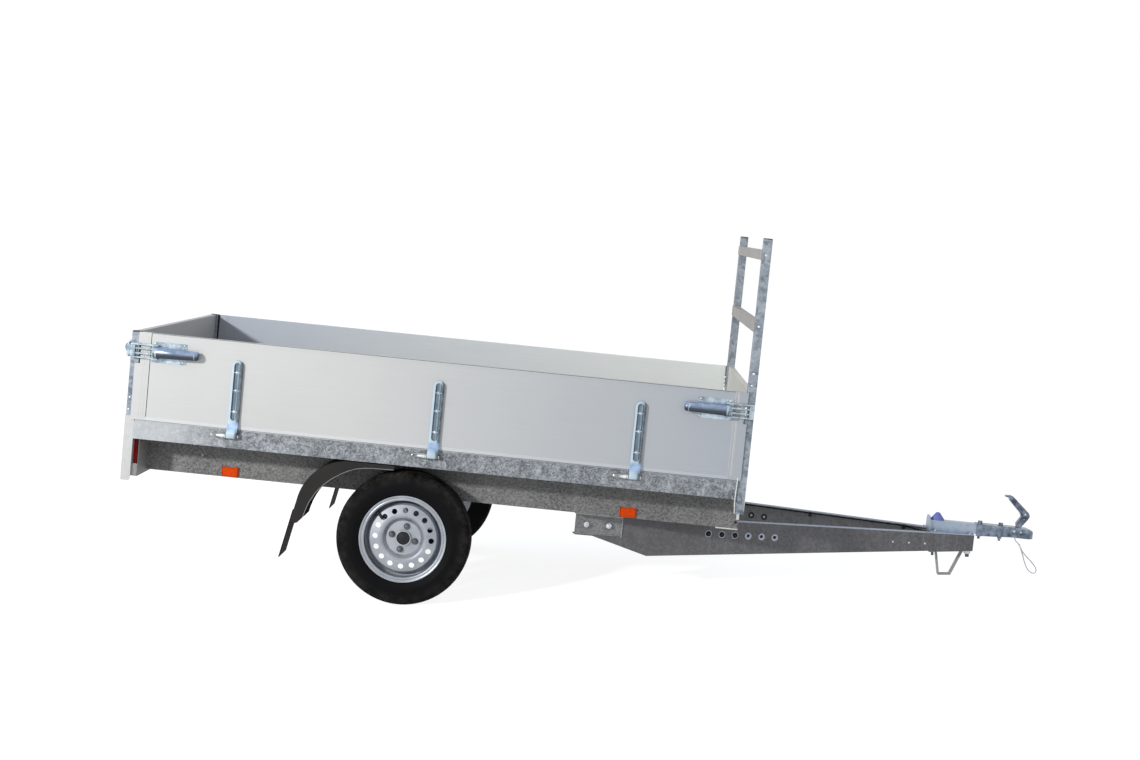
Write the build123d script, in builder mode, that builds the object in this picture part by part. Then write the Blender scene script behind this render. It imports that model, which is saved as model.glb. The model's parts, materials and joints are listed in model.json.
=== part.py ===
# Single-axle drop-side utility trailer, parked on its wheels and the drawbar's small steel foot.
#
# Everything is drawn level first: X forward along the deck, Y left, Z up, in millimetres, with
# the origin at the middle of the wheel axle.  The last step leans the whole trailer nose-down,
# until the tyres and the foot stand on one floor.
from build123d import *
from math import atan2, cos, degrees, hypot, radians, sin, sqrt, tan
import os

os.makedirs("parts", exist_ok=True)

# ------------------------------------------------------------------ driving dimensions
lean = radians(5.81)          # nose-down angle of the parked trailer

tyre_radius = 281.0
tyre_width = 166.0
track_half = 690.0            # centre plane of each wheel

bed_half_width = 775.0        # outer face of rails and side boards
post_recess = 5.5             # posts stand this far inside the rails' outer face
rear_x = -1190.0              # rear face of the rear posts
front_x = 1395.0              # front face of the rack posts
post_size = 37.0
post_bore = 32.0

board_thickness = 25.0
board_bottom = 388.0
board_top = 752.0
end_gap = 6.0                 # between a board's end and its post

rail_bottom = 308.0
rail_top = 383.0
rail_sheet = 3.0
rail_flange = 45.0
floor_thickness = 12.0

beam_outer = 575.0            # web of the lengthwise frame beams
beam_bottom = 157.0
beam_flange = 50.0
beam_sheet = 4.0
beam_front = front_x - 5.0

rack_top = 1386.0
rack_bottom = 247.0

hinge_height = 360.0
hinge_offset = 16.0           # pin axis outside the board's outer face
pin_radius = 6.0
pin_fit = 0.08
strap_width = 44.0
strap_top = 674.0
side_strap_x = (-740.0, 95.0, 930.0)
tailgate_strap_y = (-450.0, 450.0)
latch_height = 675.0
lamp_board_x = -1136.0         # rear face of the lamp board

drawbar_rear_x = 708.0
nose_x = 2490.0               # front end of the drawbar beams
drawbar_rear_half = 535.0     # outer face of a drawbar beam at its rear end
drawbar_nose_half = 60.0
drawbar_sheet = 4.0
drawbar_flange = 46.0

ball_x = 2726.0               # axis of the ball socket
ball_radius = 25.2
ball_height = 172.0
plug_x = 2328.0

# ------------------------------------------------------------------ places worked out from them
post_outer = bed_half_width - post_recess
post_inner = post_outer - post_size
post_middle = (post_outer + post_inner) / 2
rear_post_front = rear_x + post_size
rack_post_rear = front_x - post_size
board_rear_end = rear_post_front + end_gap
board_front_end = rack_post_rear - end_gap
tailgate_half = post_inner - end_gap
side_pin_y = bed_half_width + hinge_offset
tailgate_pin_x = rear_x - hinge_offset
floor_top = rail_top
floor_bottom = floor_top - floor_thickness
sides = (("left", 1.0), ("right", -1.0))


def floor_height(x):
    """Height, in the level frame, of the parking floor under x."""
    return (x * sin(lean) - tyre_radius) / cos(lean)


def across(y):
    """Side-view plane at y: local x forward, local y up; a positive extrude goes right."""
    return Plane(origin=(0, y, 0), x_dir=(1, 0, 0), z_dir=(0, -1, 0))


def along(x):
    """Cross-section plane at x: local x left, local y up; a positive extrude goes forward."""
    return Plane(origin=(x, 0, 0), x_dir=(0, 1, 0), z_dir=(1, 0, 0))


def outward(side, distance):
    """Side-view plane facing away from the middle, at that distance from it."""
    return Plane(origin=(0, side * distance, 0), x_dir=(1, 0, 0), z_dir=(0, side, 0))


def outline(points):
    """Closed face from a list of local points, in the sketch that calls it."""
    Polygon(*points, align=None)


# ------------------------------------------------------------------ wheels
bead_seat, bead_half = 165.0, 66.0
# tyre half-profile: (distance from the wheel's centre plane, radius)
tyre_tread = ((52.0, tyre_radius - 2.0), (66.0, tyre_radius - 6.5), (73.0, tyre_radius - 14.0))
tyre_wall = ((73.0, tyre_radius - 14.0), (tyre_width / 2, 226.0), (74.0, 184.5))
tyre_bead = ((74.0, 184.5), (bead_half, 182.5), (bead_half, bead_seat))


def tyre(side):
    """Tyre with a slightly crowned tread, round shoulders and bulging walls."""
    middle = side * track_half
    with BuildPart() as ring:
        with BuildSketch(Plane.YZ):
            with BuildLine():
                for hand in (1, -1):
                    Line((middle, tyre_radius), (middle + hand * tyre_tread[0][0], tyre_tread[0][1]))
                    for stretch in (tyre_tread, tyre_wall):
                        ThreePointArc(*[(middle + hand * out, r) for out, r in stretch])
                    Polyline([(middle + hand * out, r) for out, r in tyre_bead])
                Line((middle - bead_half, bead_seat), (middle + bead_half, bead_seat))
            make_face()
        revolve(axis=Axis.Y)
    return ring


# rim sections: (distance outward from the wheel's centre plane, radius)
rim_barrel = (
    (-69, 182), (-66, 182), (-66, 165), (-40, 165), (-32, 150), (8, 150), (16, 165), (66, 165),
    (66, 182), (75, 182), (75, 179), (69, 179), (69, 162), (18, 162), (10, 147), (-34, 147),
    (-42, 162), (-69, 162),
)
rim_disc = (
    (-6, 147), (36, 147), (44, 140), (52, 104), (52, 94), (47, 86), (31, 72), (31, 29),
    (27, 29), (27, 74), (43, 89), (48, 96), (48, 103), (40, 137), (34, 144), (-6, 144),
)
vent_count, vent_radius, vent_circle = 16, 11.5, 118.0
stud_count, stud_circle, stud_hole, stud_turn = 4, 50.0, 6.6, 78.0


def rim(side):
    """Pressed steel rim: well-base barrel, and a disc with a ring of round vents."""
    with BuildPart() as wheel:
        for section in (rim_barrel, rim_disc):
            with BuildSketch(Plane.YZ):
                outline([(side * (track_half + out), r) for out, r in section])
            revolve(axis=Axis.Y)
        with BuildSketch(outward(side, track_half + 30)):
            with PolarLocations(vent_circle, vent_count):
                Circle(vent_radius)
        extrude(amount=30, mode=Mode.SUBTRACT)
        with BuildSketch(outward(side, track_half + 20)):
            with PolarLocations(stud_circle, stud_count, start_angle=stud_turn):
                Circle(stud_hole)
        extrude(amount=20, mode=Mode.SUBTRACT)
    return wheel


stub_radius = 18.0
arm_inner, arm_outer = 576.0, 597.0
hub_back = 602.0
hub_face = track_half + 27.0
bolt_across = 10.0


def hub(side):
    """Unbraked hub: bearing barrel, flange behind the disc and the four wheel bolts."""
    # distance from the trailer's middle, radius, thickness
    steps = ((hub_back, 34.0, hub_face - hub_back), (hub_face - 11, 62.0, 11.0), (hub_face, 28.0, 9.0))
    with BuildPart() as body:
        for start, radius, depth in steps:
            with BuildSketch(outward(side, start)):
                Circle(radius)
            extrude(amount=depth)
        with BuildSketch(outward(side, hub_face)):
            with PolarLocations(stud_circle, stud_count, start_angle=stud_turn):
                Circle(stud_hole - 0.6)
        extrude(amount=4)
        with BuildSketch(outward(side, hub_face + 4)):
            with PolarLocations(stud_circle, stud_count, start_angle=stud_turn):
                RegularPolygon(bolt_across, 6)
        extrude(amount=13)
        with BuildSketch(outward(side, hub_back)):
            Circle(stub_radius + pin_fit)
        extrude(amount=96, mode=Mode.SUBTRACT)
    return body


def hub_cap(side):
    """Plain domed grease cap over the hub's nose."""
    base, depth, dome, radius = hub_face + 9, 10.0, 5.0, 27.0
    ball = (radius ** 2 + dome ** 2) / (2 * dome)
    half_way = base + depth - ball + sqrt(ball ** 2 - radius ** 2 / 4)
    with BuildPart() as cap:
        with BuildSketch(Plane.YZ):
            with BuildLine():
                Polyline((side * (base + depth), 0), (side * base, 0), (side * base, radius),
                         (side * (base + depth - dome), radius))
                ThreePointArc((side * (base + depth - dome), radius), (side * half_way, radius / 2),
                              (side * (base + depth), 0))
            make_face()
        revolve(axis=Axis.Y)
    return cap


# ------------------------------------------------------------------ axle
axle_x, axle_z, axle_side = 111.0, 115.0, 66.0


def axle_beam():
    """Square torsion axle tube with a mounting saddle under each frame beam."""
    saddle = (
        (axle_x - 100, beam_bottom), (axle_x + 100, beam_bottom), (axle_x + 100, beam_bottom - 6),
        (axle_x + 50, axle_z + 22), (axle_x + axle_side / 2, axle_z - 10),
        (axle_x + axle_side / 2, axle_z + axle_side / 2),
        (axle_x - axle_side / 2, axle_z + axle_side / 2), (axle_x - axle_side / 2, axle_z - 10),
        (axle_x - 50, axle_z + 22), (axle_x - 100, beam_bottom - 6),
    )
    with BuildPart() as axle:
        with BuildSketch(across(arm_inner)):
            with Locations((axle_x, axle_z)):
                RectangleRounded(axle_side, axle_side, 8)
                RectangleRounded(axle_side - 10, axle_side - 10, 4, mode=Mode.SUBTRACT)
        extrude(amount=2 * arm_inner)
        for _, side in sides:
            with BuildSketch(across(side * (beam_outer - beam_flange / 2))):
                outline(saddle)
            extrude(amount=beam_flange / 2, both=True)
    return axle


def swing_arm(side):
    """Trailing arm from the torsion tube to the wheel, with its stub axle."""
    reach = hypot(axle_x, axle_z)
    with BuildPart() as arm:
        with BuildSketch(across(side * (arm_inner + arm_outer) / 2)):
            with Locations((axle_x, axle_z)):
                Circle(36)
            Circle(27)
            with Locations(Location((axle_x / 2, axle_z / 2), degrees(atan2(axle_z, axle_x)))):
                Rectangle(reach, 46)
        extrude(amount=(arm_outer - arm_inner) / 2, both=True)
        with BuildSketch(outward(side, arm_outer)):
            Circle(stub_radius)
        extrude(amount=hub_face - 22 - arm_outer)
    return arm


# ------------------------------------------------------------------ chassis
def side_rail(side):
    """Rolled side rail: outer web, floor ledge, bottom flange, and the weld-on hinge pins."""
    ledge = floor_bottom - rail_sheet
    inner_web = bed_half_width - rail_sheet
    section = (
        (bed_half_width, rail_bottom), (bed_half_width, rail_top), (inner_web, rail_top),
        (inner_web, floor_bottom), (bed_half_width - rail_flange, floor_bottom),
        (bed_half_width - rail_flange, ledge), (inner_web, ledge),
        (inner_web, rail_bottom + rail_sheet), (bed_half_width - rail_flange, rail_bottom + rail_sheet),
        (bed_half_width - rail_flange, rail_bottom),
    )
    pins = [weld_on_pin(Plane(origin=(x, side * bed_half_width, hinge_height), x_dir=(-1, 0, 0),
                              z_dir=(0, side, 0))) for x in side_strap_x]
    with BuildPart() as rail:
        with BuildSketch(along(rear_post_front)):
            outline([(side * y, z) for y, z in section])
        extrude(amount=rack_post_rear - rear_post_front)
        add(pins)
    return rail


pin_root, pin_tail = 26.0, 84.0     # start and end of the welded part, behind the strap's middle
pin_reach = 24.0                    # how far the free pin runs past the strap's middle


def weld_on_pin(face):
    """Tapered bar welded to a rail's face, whose round front end carries one hinge strap.

    face: local x runs away from the strap, along the rail; local z points out of the rail.
    """
    base = face.origin + face.z_dir * hinge_offset + face.x_dir * (pin_root + 4)
    with BuildPart() as pin:
        with BuildSketch(face):
            outline(((pin_root, -11), (pin_root, 11), (pin_tail, 6), (pin_tail, -6)))
        extrude(amount=hinge_offset + 8, taper=4)
        with BuildSketch(Plane(origin=base, x_dir=face.z_dir, z_dir=-face.x_dir)):
            Circle(pin_radius)
        extrude(amount=pin_root + 4 + pin_reach)
    return pin.part


def frame_beam(side):
    """C-section frame beam that runs the whole deck and carries the axle and the drawbar."""
    top = rail_bottom + rail_sheet
    web_inner, toe = beam_outer - beam_sheet, beam_outer - beam_flange
    section = (
        (beam_outer, beam_bottom), (beam_outer, top), (toe, top), (toe, top - beam_sheet),
        (web_inner, top - beam_sheet), (web_inner, beam_bottom + beam_sheet),
        (toe, beam_bottom + beam_sheet), (toe, beam_bottom),
    )
    with BuildPart() as beam:
        with BuildSketch(along(lamp_board_x + rail_sheet)):
            outline([(side * y, z) for y, z in section])
        extrude(amount=beam_front - lamp_board_x - rail_sheet)
    return beam


cross_member_x = (-860.0, -380.0, 420.0, 900.0)
cross_member_width = 44.0


def cross_members():
    """Top-hat cross members between the side rails, under the floor."""
    half, low, ledge = bed_half_width - rail_sheet, rail_bottom + rail_sheet, floor_bottom - rail_sheet
    with BuildPart() as members:
        with BuildSketch(across(half)):
            with Locations([(x, (low + ledge) / 2) for x in cross_member_x]):
                Rectangle(cross_member_width, ledge - low)
            with Locations([(x, (low + ledge) / 2 - rail_sheet) for x in cross_member_x]):
                Rectangle(cross_member_width - 2 * rail_sheet, ledge - low, mode=Mode.SUBTRACT)
        extrude(amount=2 * half)
        with BuildSketch(Plane.XY.offset(ledge)):
            with Locations([(x, 0) for x in cross_member_x]):
                Rectangle(cross_member_width, 2 * (bed_half_width - rail_flange))
        extrude(amount=rail_sheet)
    return members


def rear_rail():
    """Rear sill between the posts, with the tailgate's hinge pins."""
    front, rear, ledge = rear_post_front, rear_x, floor_bottom - rail_sheet
    section = (
        (rear, rail_bottom), (rear, rail_top), (rear + rail_sheet, rail_top),
        (rear + rail_sheet, floor_bottom), (front, floor_bottom), (front, ledge),
        (rear + rail_sheet, ledge), (rear + rail_sheet, rail_bottom + rail_sheet),
        (front, rail_bottom + rail_sheet), (front, rail_bottom),
    )
    pins = [weld_on_pin(Plane(origin=(rear_x, y, hinge_height), x_dir=(0, 1, 0), z_dir=(-1, 0, 0)))
            for y in tailgate_strap_y]
    with BuildPart() as sill:
        with BuildSketch(across(post_inner)):
            outline(section)
        extrude(amount=2 * post_inner)
        add(pins)
    return sill


def front_rail():
    """Front sill between the rack posts, with a deep channel behind it between the beams."""
    front, rear = beam_front, beam_front - 50
    low, high = beam_bottom, rail_bottom
    with BuildPart() as sill:
        with BuildSketch(across(post_inner)):
            with Locations(((rack_post_rear + front_x) / 2, (rail_bottom + rail_top) / 2)):
                Rectangle(post_size, rail_top - rail_bottom)
                Rectangle(post_size - 2 * rail_sheet, rail_top - rail_bottom - 2 * rail_sheet,
                          mode=Mode.SUBTRACT)
        extrude(amount=2 * post_inner)
        with BuildSketch(across(beam_outer - beam_sheet)):
            outline((
                (front, low), (front, high), (rear, high), (rear, high - beam_sheet),
                (front - beam_sheet, high - beam_sheet), (front - beam_sheet, low + beam_sheet),
                (rear, low + beam_sheet), (rear, low),
            ))
        extrude(amount=2 * (beam_outer - beam_sheet))
        for _, side in sides:
            with BuildSketch(Plane.XY.offset(beam_bottom)):
                with Locations(((front + rear) / 2 - 3, side * (beam_outer - beam_flange / 2))):
                    Rectangle(front - rear + 20, beam_flange + 2)
            extrude(amount=rail_bottom + rail_sheet - beam_bottom, mode=Mode.SUBTRACT)
    return sill


def floor_panel():
    """Plywood floor on the rails' ledges, with a shallow rebate under the boards' edges."""
    half = bed_half_width - rail_sheet - 1
    step, clear_half = 1.5, 744.0
    clear_rear, clear_front = rear_post_front + 2, rack_post_rear - 2
    with BuildPart() as panel:
        with BuildSketch(Plane.XY.offset(floor_bottom)):
            with Locations(((rear_x + rail_sheet + rack_post_rear) / 2, 0)):
                Rectangle(rack_post_rear - rear_x - rail_sheet, 2 * half)
            with Locations((rear_x, post_inner + 20), (rear_x, -post_inner - 20)):
                Rectangle(2 * (post_size + 1), 42, mode=Mode.SUBTRACT)
        extrude(amount=floor_thickness - step)
        with BuildSketch(Plane.XY.offset(floor_top - step)):
            with Locations(((clear_rear + clear_front) / 2, 0)):
                Rectangle(clear_front - clear_rear, 2 * clear_half)
        extrude(amount=step)
    return panel


# ------------------------------------------------------------------ posts and rack
guard_top, guard_bottom = 402.0, 131.0
lamp_guard_sheet = 2.0
rear_post_foot = 150.0
cap_seat = 2.0                             # the caps stand this much below the posts' nominal top
keeper_inset, keeper_reach = 7.0, 10.0     # from the post's edge beside the board; proud of it


def keeper(middle, along_board, out):
    """Catch plate that a latch hook closes over, on a post's face."""
    with BuildPart() as plate:
        with BuildSketch(Plane(origin=middle, x_dir=along_board, z_dir=out)):
            RectangleRounded(6, 46, 2)
        extrude(amount=keeper_reach)
    return plate.part


def rear_post(side):
    """Rear corner post with its folded lamp guard below and the two latch keepers."""
    middle = ((rear_x + rear_post_front) / 2, side * post_middle)
    keepers = [
        keeper((rear_post_front - keeper_inset, side * post_outer, latch_height), (1, 0, 0),
               (0, side, 0)),
        keeper((rear_x, side * (post_inner + keeper_inset), latch_height), (0, 1, 0),
               (-1, 0, 0)),
    ]
    with BuildPart() as post:
        with BuildSketch(Plane.XY.offset(rear_post_foot)):
            with Locations(middle):
                RectangleRounded(post_size, post_size, 3)
                RectangleRounded(post_bore, post_bore, 1.5, mode=Mode.SUBTRACT)
        extrude(amount=board_top - cap_seat - rear_post_foot)
        with BuildSketch(across(side * post_outer)):
            outline(((rear_x - lamp_guard_sheet, guard_bottom), (rear_x - lamp_guard_sheet, guard_top),
                     (rear_post_front, guard_top), (rear_post_front, guard_bottom + 6),
                     (rear_post_front - 4, guard_bottom)))
        extrude(amount=-side * lamp_guard_sheet)
        with BuildSketch(along(rear_x - lamp_guard_sheet)):
            with Locations((side * (post_outer - 18), (guard_top + guard_bottom) / 2)):
                Rectangle(40, guard_top - guard_bottom)
        extrude(amount=lamp_guard_sheet)
        add(keepers)
    return post


def rack_post(side):
    """Tall front post of the ladder rack, with the keeper of the side board's front latch."""
    middle = ((rack_post_rear + front_x) / 2, side * post_middle)
    catch = keeper((rack_post_rear + keeper_inset, side * post_outer, latch_height), (1, 0, 0),
                   (0, side, 0))
    with BuildPart() as post:
        with BuildSketch(Plane.XY.offset(rack_bottom)):
            with Locations(middle):
                RectangleRounded(post_size, post_size, 3)
                RectangleRounded(post_bore, post_bore, 1.5, mode=Mode.SUBTRACT)
        extrude(amount=rack_top - cap_seat - rack_bottom)
        add(catch)
    return post


def post_caps():
    """Pressed-in plastic caps of the four posts."""
    # post centre x, post top
    tops = (((rear_x + rear_post_front) / 2, board_top - cap_seat),
            ((rack_post_rear + front_x) / 2, rack_top - cap_seat))
    with BuildPart() as caps:
        for x, top in tops:
            for _, side in sides:
                middle = (x, side * post_middle)
                with BuildSketch(Plane.XY.offset(top)):
                    with Locations(middle):
                        RectangleRounded(post_size, post_size, 3)
                extrude(amount=4, taper=20)
                with BuildSketch(Plane.XY.offset(top - 14)):
                    with Locations(middle):
                        Rectangle(post_size - 6, post_size - 6)
                extrude(amount=14)
    return caps


# rack bars: name, lower edge, upper edge
rack_bars = (("upper", 1298.0, 1340.0), ("lower", 1002.0, 1050.0))
bar_sheet, bar_flange = 3.0, 30.0


def rack_bar(low, high):
    """Folded channel lapped over the rear faces of the rack posts."""
    lap = rack_post_rear - bar_sheet
    with BuildPart() as bar:
        with BuildSketch(along(lap)):
            with Locations((0, (low + high) / 2)):
                Rectangle(2 * post_outer, high - low)
        extrude(amount=bar_sheet)
        for edge in (low, high - bar_sheet):
            with BuildSketch(Plane.XY.offset(edge)):
                with Locations((lap + bar_flange / 2, 0)):
                    Rectangle(bar_flange, 2 * post_inner)
            extrude(amount=bar_sheet)
    return bar


# ------------------------------------------------------------------ boards
board_groove = 1.5


def board_section(thickness, height):
    """Hollow-chamber board profile standing on local y = 0, outer face at local x = 0."""
    wall, chambers = 2.0, 5
    pitch = (height - wall) / chambers
    RectangleRounded(thickness, height, 2.0, align=(Align.MAX, Align.MIN))
    with Locations([(-thickness / 2, wall + pitch * (n + 0.5) - wall / 2) for n in range(chambers)]):
        Rectangle(thickness - 2 * wall, pitch - wall, mode=Mode.SUBTRACT)
    with Locations((0, 9), (0, height - 9)):
        Rectangle(board_groove, 2, mode=Mode.SUBTRACT)


end_cap_width, end_cap_sheet = 40.0, 1.5
front_board_inset = 2.0            # front face of the front board behind the rack posts' front
# where an end profile laps over its post: lowest and highest edge, lap at the rear, lap at the front
end_laps = ((board_bottom, 622.0, 16.0, 10.0), (706.0, board_top, 5.4, 6.0))


def side_board(side):
    """Drop side: extruded board between two wrap-round end profiles that lap over the posts."""
    height, length = board_top - board_bottom, board_front_end - board_rear_end
    with BuildPart() as board:
        with BuildSketch(Plane(origin=(board_rear_end, side * bed_half_width, board_bottom),
                               x_dir=(0, side, 0), z_dir=(side, 0, 0))):
            board_section(board_thickness, height)
        extrude(amount=side * length)
        for x in (board_rear_end, board_front_end - end_cap_width):
            with BuildSketch(along(x)):
                with Locations((side * (bed_half_width - board_thickness / 2), board_bottom + height / 2)):
                    Rectangle(board_thickness + 2 * end_cap_sheet, height)
            extrude(amount=end_cap_width)
        for low, high, rear_lap, front_lap in end_laps:
            laps = ((rear_post_front - rear_lap, board_rear_end + 1),
                    (board_front_end - 1, rack_post_rear + front_lap))
            with BuildSketch(across(side * (bed_half_width + end_cap_sheet))):
                for rear, front in laps:
                    with Locations(((rear + front) / 2, (low + high) / 2)):
                        Rectangle(front - rear, high - low)
            extrude(amount=side * end_cap_sheet)
    return board


def tailgate_board():
    """Tailgate: the same board profile across the rear."""
    height = board_top - board_bottom
    with BuildPart() as board:
        with BuildSketch(Plane(origin=(rear_x, -tailgate_half, board_bottom), x_dir=(-1, 0, 0),
                               z_dir=(0, 1, 0))):
            board_section(board_thickness, height)
        extrude(amount=2 * tailgate_half)
        for _, side in sides:
            with BuildSketch(across(side * (tailgate_half - end_cap_width / 2))):
                with Locations((rear_x + board_thickness / 2, board_bottom + height / 2)):
                    Rectangle(board_thickness + 2 * end_cap_sheet, height)
            extrude(amount=end_cap_width / 2, both=True)
    return board


def front_board():
    """Fixed front board between the rack posts, on the front sill."""
    height, rear = board_top - floor_top, front_x - front_board_inset - board_thickness
    with BuildPart() as board:
        with BuildSketch(Plane(origin=(rear, -post_inner, floor_top), x_dir=(-1, 0, 0),
                               z_dir=(0, 1, 0))):
            board_section(board_thickness, height)
        extrude(amount=2 * post_inner)
        for _, side in sides:
            with BuildSketch(across(side * (post_inner - end_cap_width / 2))):
                with Locations((rear + board_thickness / 2, floor_top + height / 2)):
                    Rectangle(board_thickness + 2 * end_cap_sheet, height)
            extrude(amount=end_cap_width / 2, both=True)
    return board


strap_depth, strap_web, strap_rim = 12.0, 4.0, 9.0
strap_eye = 10.8              # outer radius of the rolled eye
strap_bolt_z, strap_bolt_radius, strap_bolt_head = (461.0, 549.0, 624.0), 7.0, 3.0
up = Vector(0, 0, 1)


def hinge_straps(placements):
    """All the straps of one board, from a table of pin middle and outward direction."""
    forged = [one_strap(Vector(*origin), Vector(*out)) for origin, out in placements]
    with BuildPart() as straps:
        add(forged)
    return straps


def one_strap(origin, out):
    """Forged strap: rimmed stadium on the board, a joggle under its edge and a rolled eye."""
    seat = board_bottom + 6 - hinge_height
    shoulder = seat + 31
    crown = strap_top - hinge_height - strap_width / 2
    face, front = -hinge_offset, strap_depth - hinge_offset
    edge_on = Plane(origin=origin, x_dir=out, z_dir=out.cross(up))
    flat_on = Plane(origin=origin + out * face, x_dir=up.cross(out), z_dir=out)
    with BuildPart() as strap:
        with BuildSketch(edge_on):
            with BuildLine():
                ThreePointArc((-strap_eye, 0), (0, -strap_eye), (strap_eye, 0))
                Polyline((strap_eye, 0), (strap_eye, 10), (front, seat + 24), (front, shoulder),
                         (face, shoulder), (face, seat), (-strap_eye, seat - 8), (-strap_eye, 0))
            make_face()
        extrude(amount=strap_width / 2, both=True)
        with BuildSketch(flat_on):
            with Locations((0, (shoulder + crown) / 2)):
                Rectangle(strap_width, crown - shoulder)
            with Locations((0, crown)):
                Circle(strap_width / 2)
        extrude(amount=strap_depth)
        with BuildSketch(flat_on.offset(strap_web)):
            with Locations((0, (shoulder + 13 + crown) / 2)):
                SlotCenterToCenter(crown - shoulder - 13, strap_width - 2 * strap_rim, rotation=90)
        extrude(amount=strap_depth, mode=Mode.SUBTRACT)
        with BuildSketch(flat_on.offset(strap_web)):
            with Locations([(0, z - hinge_height) for z in strap_bolt_z]):
                Circle(strap_bolt_radius)
        extrude(amount=strap_bolt_head)
        with BuildSketch(edge_on):
            Circle(pin_radius + pin_fit)
        extrude(amount=strap_width / 2, both=True, mode=Mode.SUBTRACT)
    return strap.part


# latch layout, measured inward from the board's end
latch_plate, plate_width, plate_depth = (47.0, 190.0), 86.0, 3.0
cheek_place, cheek_side, cheek_height = 62.0, 28.0, 32.0
cheek_length, cheek_width = 30.0, 6.0
hook_block = (-40.0, -21.0)         # catch block that stands behind the keeper
hook_width, hook_low, hook_high = 44.0, 5.0, 20.0
bail_lift, bail_depth = 10.0, 6.0   # underside of the bail above the board, and its thickness
bail_half, bail_wire, fork_half = 30.0, 6.0, 10.0
# lever barrel: place, radius, height of its centre
lever = ((60.0, 24.2, 27.0), (238.0, 18.6, 23.0))


def latches(placements):
    """Both over-centre latches of one board, from a table of board end, inward and outward."""
    built = [one_latch(Vector(*origin), Vector(*inward), Vector(*out))
             for origin, inward, out in placements]
    with BuildPart() as pair:
        add(built)
    return pair


def one_latch(origin, inward, out):
    """Base plate, cheeks, tapered lever barrel, and a bail round a catch block behind the keeper."""
    face = Plane(origin=origin, x_dir=inward, z_dir=out)
    start, stop = latch_plate
    far, near = hook_block
    root = lever[0][0]
    with BuildPart() as latch:
        with BuildSketch(face):
            with Locations(((start + stop) / 2, 0)):
                RectangleRounded(stop - start, plate_width, 4)
        extrude(amount=plate_depth)
        with BuildSketch(face):
            with Locations((cheek_place, cheek_side), (cheek_place, -cheek_side)):
                RectangleRounded(cheek_length, cheek_width, 2)
        extrude(amount=cheek_height)
        for at, radius, height in lever:
            with BuildSketch(Plane(origin=origin + inward * at + out * height, x_dir=out, z_dir=inward)):
                Circle(radius)
        loft()
        with BuildSketch(face.offset(bail_lift)):
            with Locations([((far + root) / 2, side * (bail_half - bail_wire / 2)) for _, side in sides]):
                Rectangle(root - far, bail_wire)
            with Locations([((near + root) / 2, side * fork_half) for _, side in sides]):
                Rectangle(root - near + bail_wire, bail_wire)
            with Locations((far + bail_wire / 2, 0)):
                Rectangle(bail_wire, 2 * bail_half)
        extrude(amount=bail_depth)
        with BuildSketch(face.offset(hook_low)):
            with Locations(((far + near) / 2, 0)):
                RectangleRounded(near - far, hook_width, 3)
        extrude(amount=hook_high - hook_low)
    return latch.part


# ------------------------------------------------------------------ rear lighting
lamp_low, lamp_high, lamp_inner, lamp_outer = 196.0, 300.0, 485.0, 727.0


def lamp_board():
    """Folded sheet across the rear that carries the lamps, with a flange above and below."""
    with BuildPart() as board:
        with BuildSketch(across(post_inner - 2)):
            outline((
                (lamp_board_x + 3, 146), (lamp_board_x + 3, rail_bottom), (-1170, rail_bottom),
                (-1170, rail_bottom - 3), (lamp_board_x, rail_bottom - 3), (lamp_board_x, 149),
                (-1170, 149), (-1170, 146),
            ))
        extrude(amount=2 * (post_inner - 2))
    return board


def tail_lamp(side):
    """Rectangular tail lamp: flat housing and a proud lens, facing the rear."""
    middle = side * (lamp_inner + lamp_outer) / 2
    width, height = lamp_outer - lamp_inner, lamp_high - lamp_low
    rearward = Plane(origin=(lamp_board_x, middle, (lamp_low + lamp_high) / 2), x_dir=(0, 1, 0),
                     z_dir=(-1, 0, 0))
    with BuildPart() as lamp:
        with BuildSketch(rearward):
            RectangleRounded(width, height, 8)
        extrude(amount=20)
        with BuildSketch(rearward.offset(20)):
            RectangleRounded(width - 6, height - 6, 8)
        extrude(amount=20, taper=6)
    return lamp


reflector_x = (-775.0, 923.0)
reflector_z = 180.0


def side_reflectors():
    """Two amber reflectors on the outside of each frame beam."""
    with BuildPart() as reflectors:
        for _, side in sides:
            with BuildSketch(outward(side, beam_outer)):
                with Locations([(x, side * -reflector_z) for x in reflector_x]):
                    RectangleRounded(64, 36, 4)
            extrude(amount=8, taper=8)
    return reflectors


# ------------------------------------------------------------------ drawbar
drawbar_run = nose_x - drawbar_rear_x
drawbar_spread = (drawbar_rear_half - drawbar_nose_half) / drawbar_run
belly_x, belly_z = 1022.0, -19.0          # deepest point of a drawbar beam
heel_x, heel_z = 782.0, 55.0              # end of the shallow rear part
nose_low = 92.0
slot_x = (1284.0, 1343.0, 1401.0, 1460.0, 1519.0, 1578.0)   # round adjustment holes
slot_z, slot_radius = 94.0, 13.0


def drawbar_half(x):
    """Outer face of a drawbar beam at x, from the middle."""
    return drawbar_nose_half + (nose_x - x) * drawbar_spread


def drawbar_top(x):
    """Top face of a drawbar beam at x."""
    return 149.0 + 9.0 * (x - drawbar_rear_x) / drawbar_run


def seat_on_drawbar(x):
    """Underside at x of what lies across both drawbar beams."""
    return drawbar_top(x) + 0.06


def drawbar_low(x):
    """Bottom face of a drawbar beam at x, ahead of its belly."""
    return belly_z + (nose_low - belly_z) * (x - belly_x) / (nose_x - belly_x)


def drawbar_plane(side):
    """Upright plane through a beam's outer face: local x forward along it, local y up."""
    ahead = Vector(1, -side * drawbar_spread, 0).normalized()
    return Plane(origin=(drawbar_rear_x, side * drawbar_rear_half, 0), x_dir=ahead,
                 z_dir=ahead.cross(up))


def along_beam(x):
    """Distance along a drawbar beam of the point at x."""
    return (x - drawbar_rear_x) * hypot(1, drawbar_spread)


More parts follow.
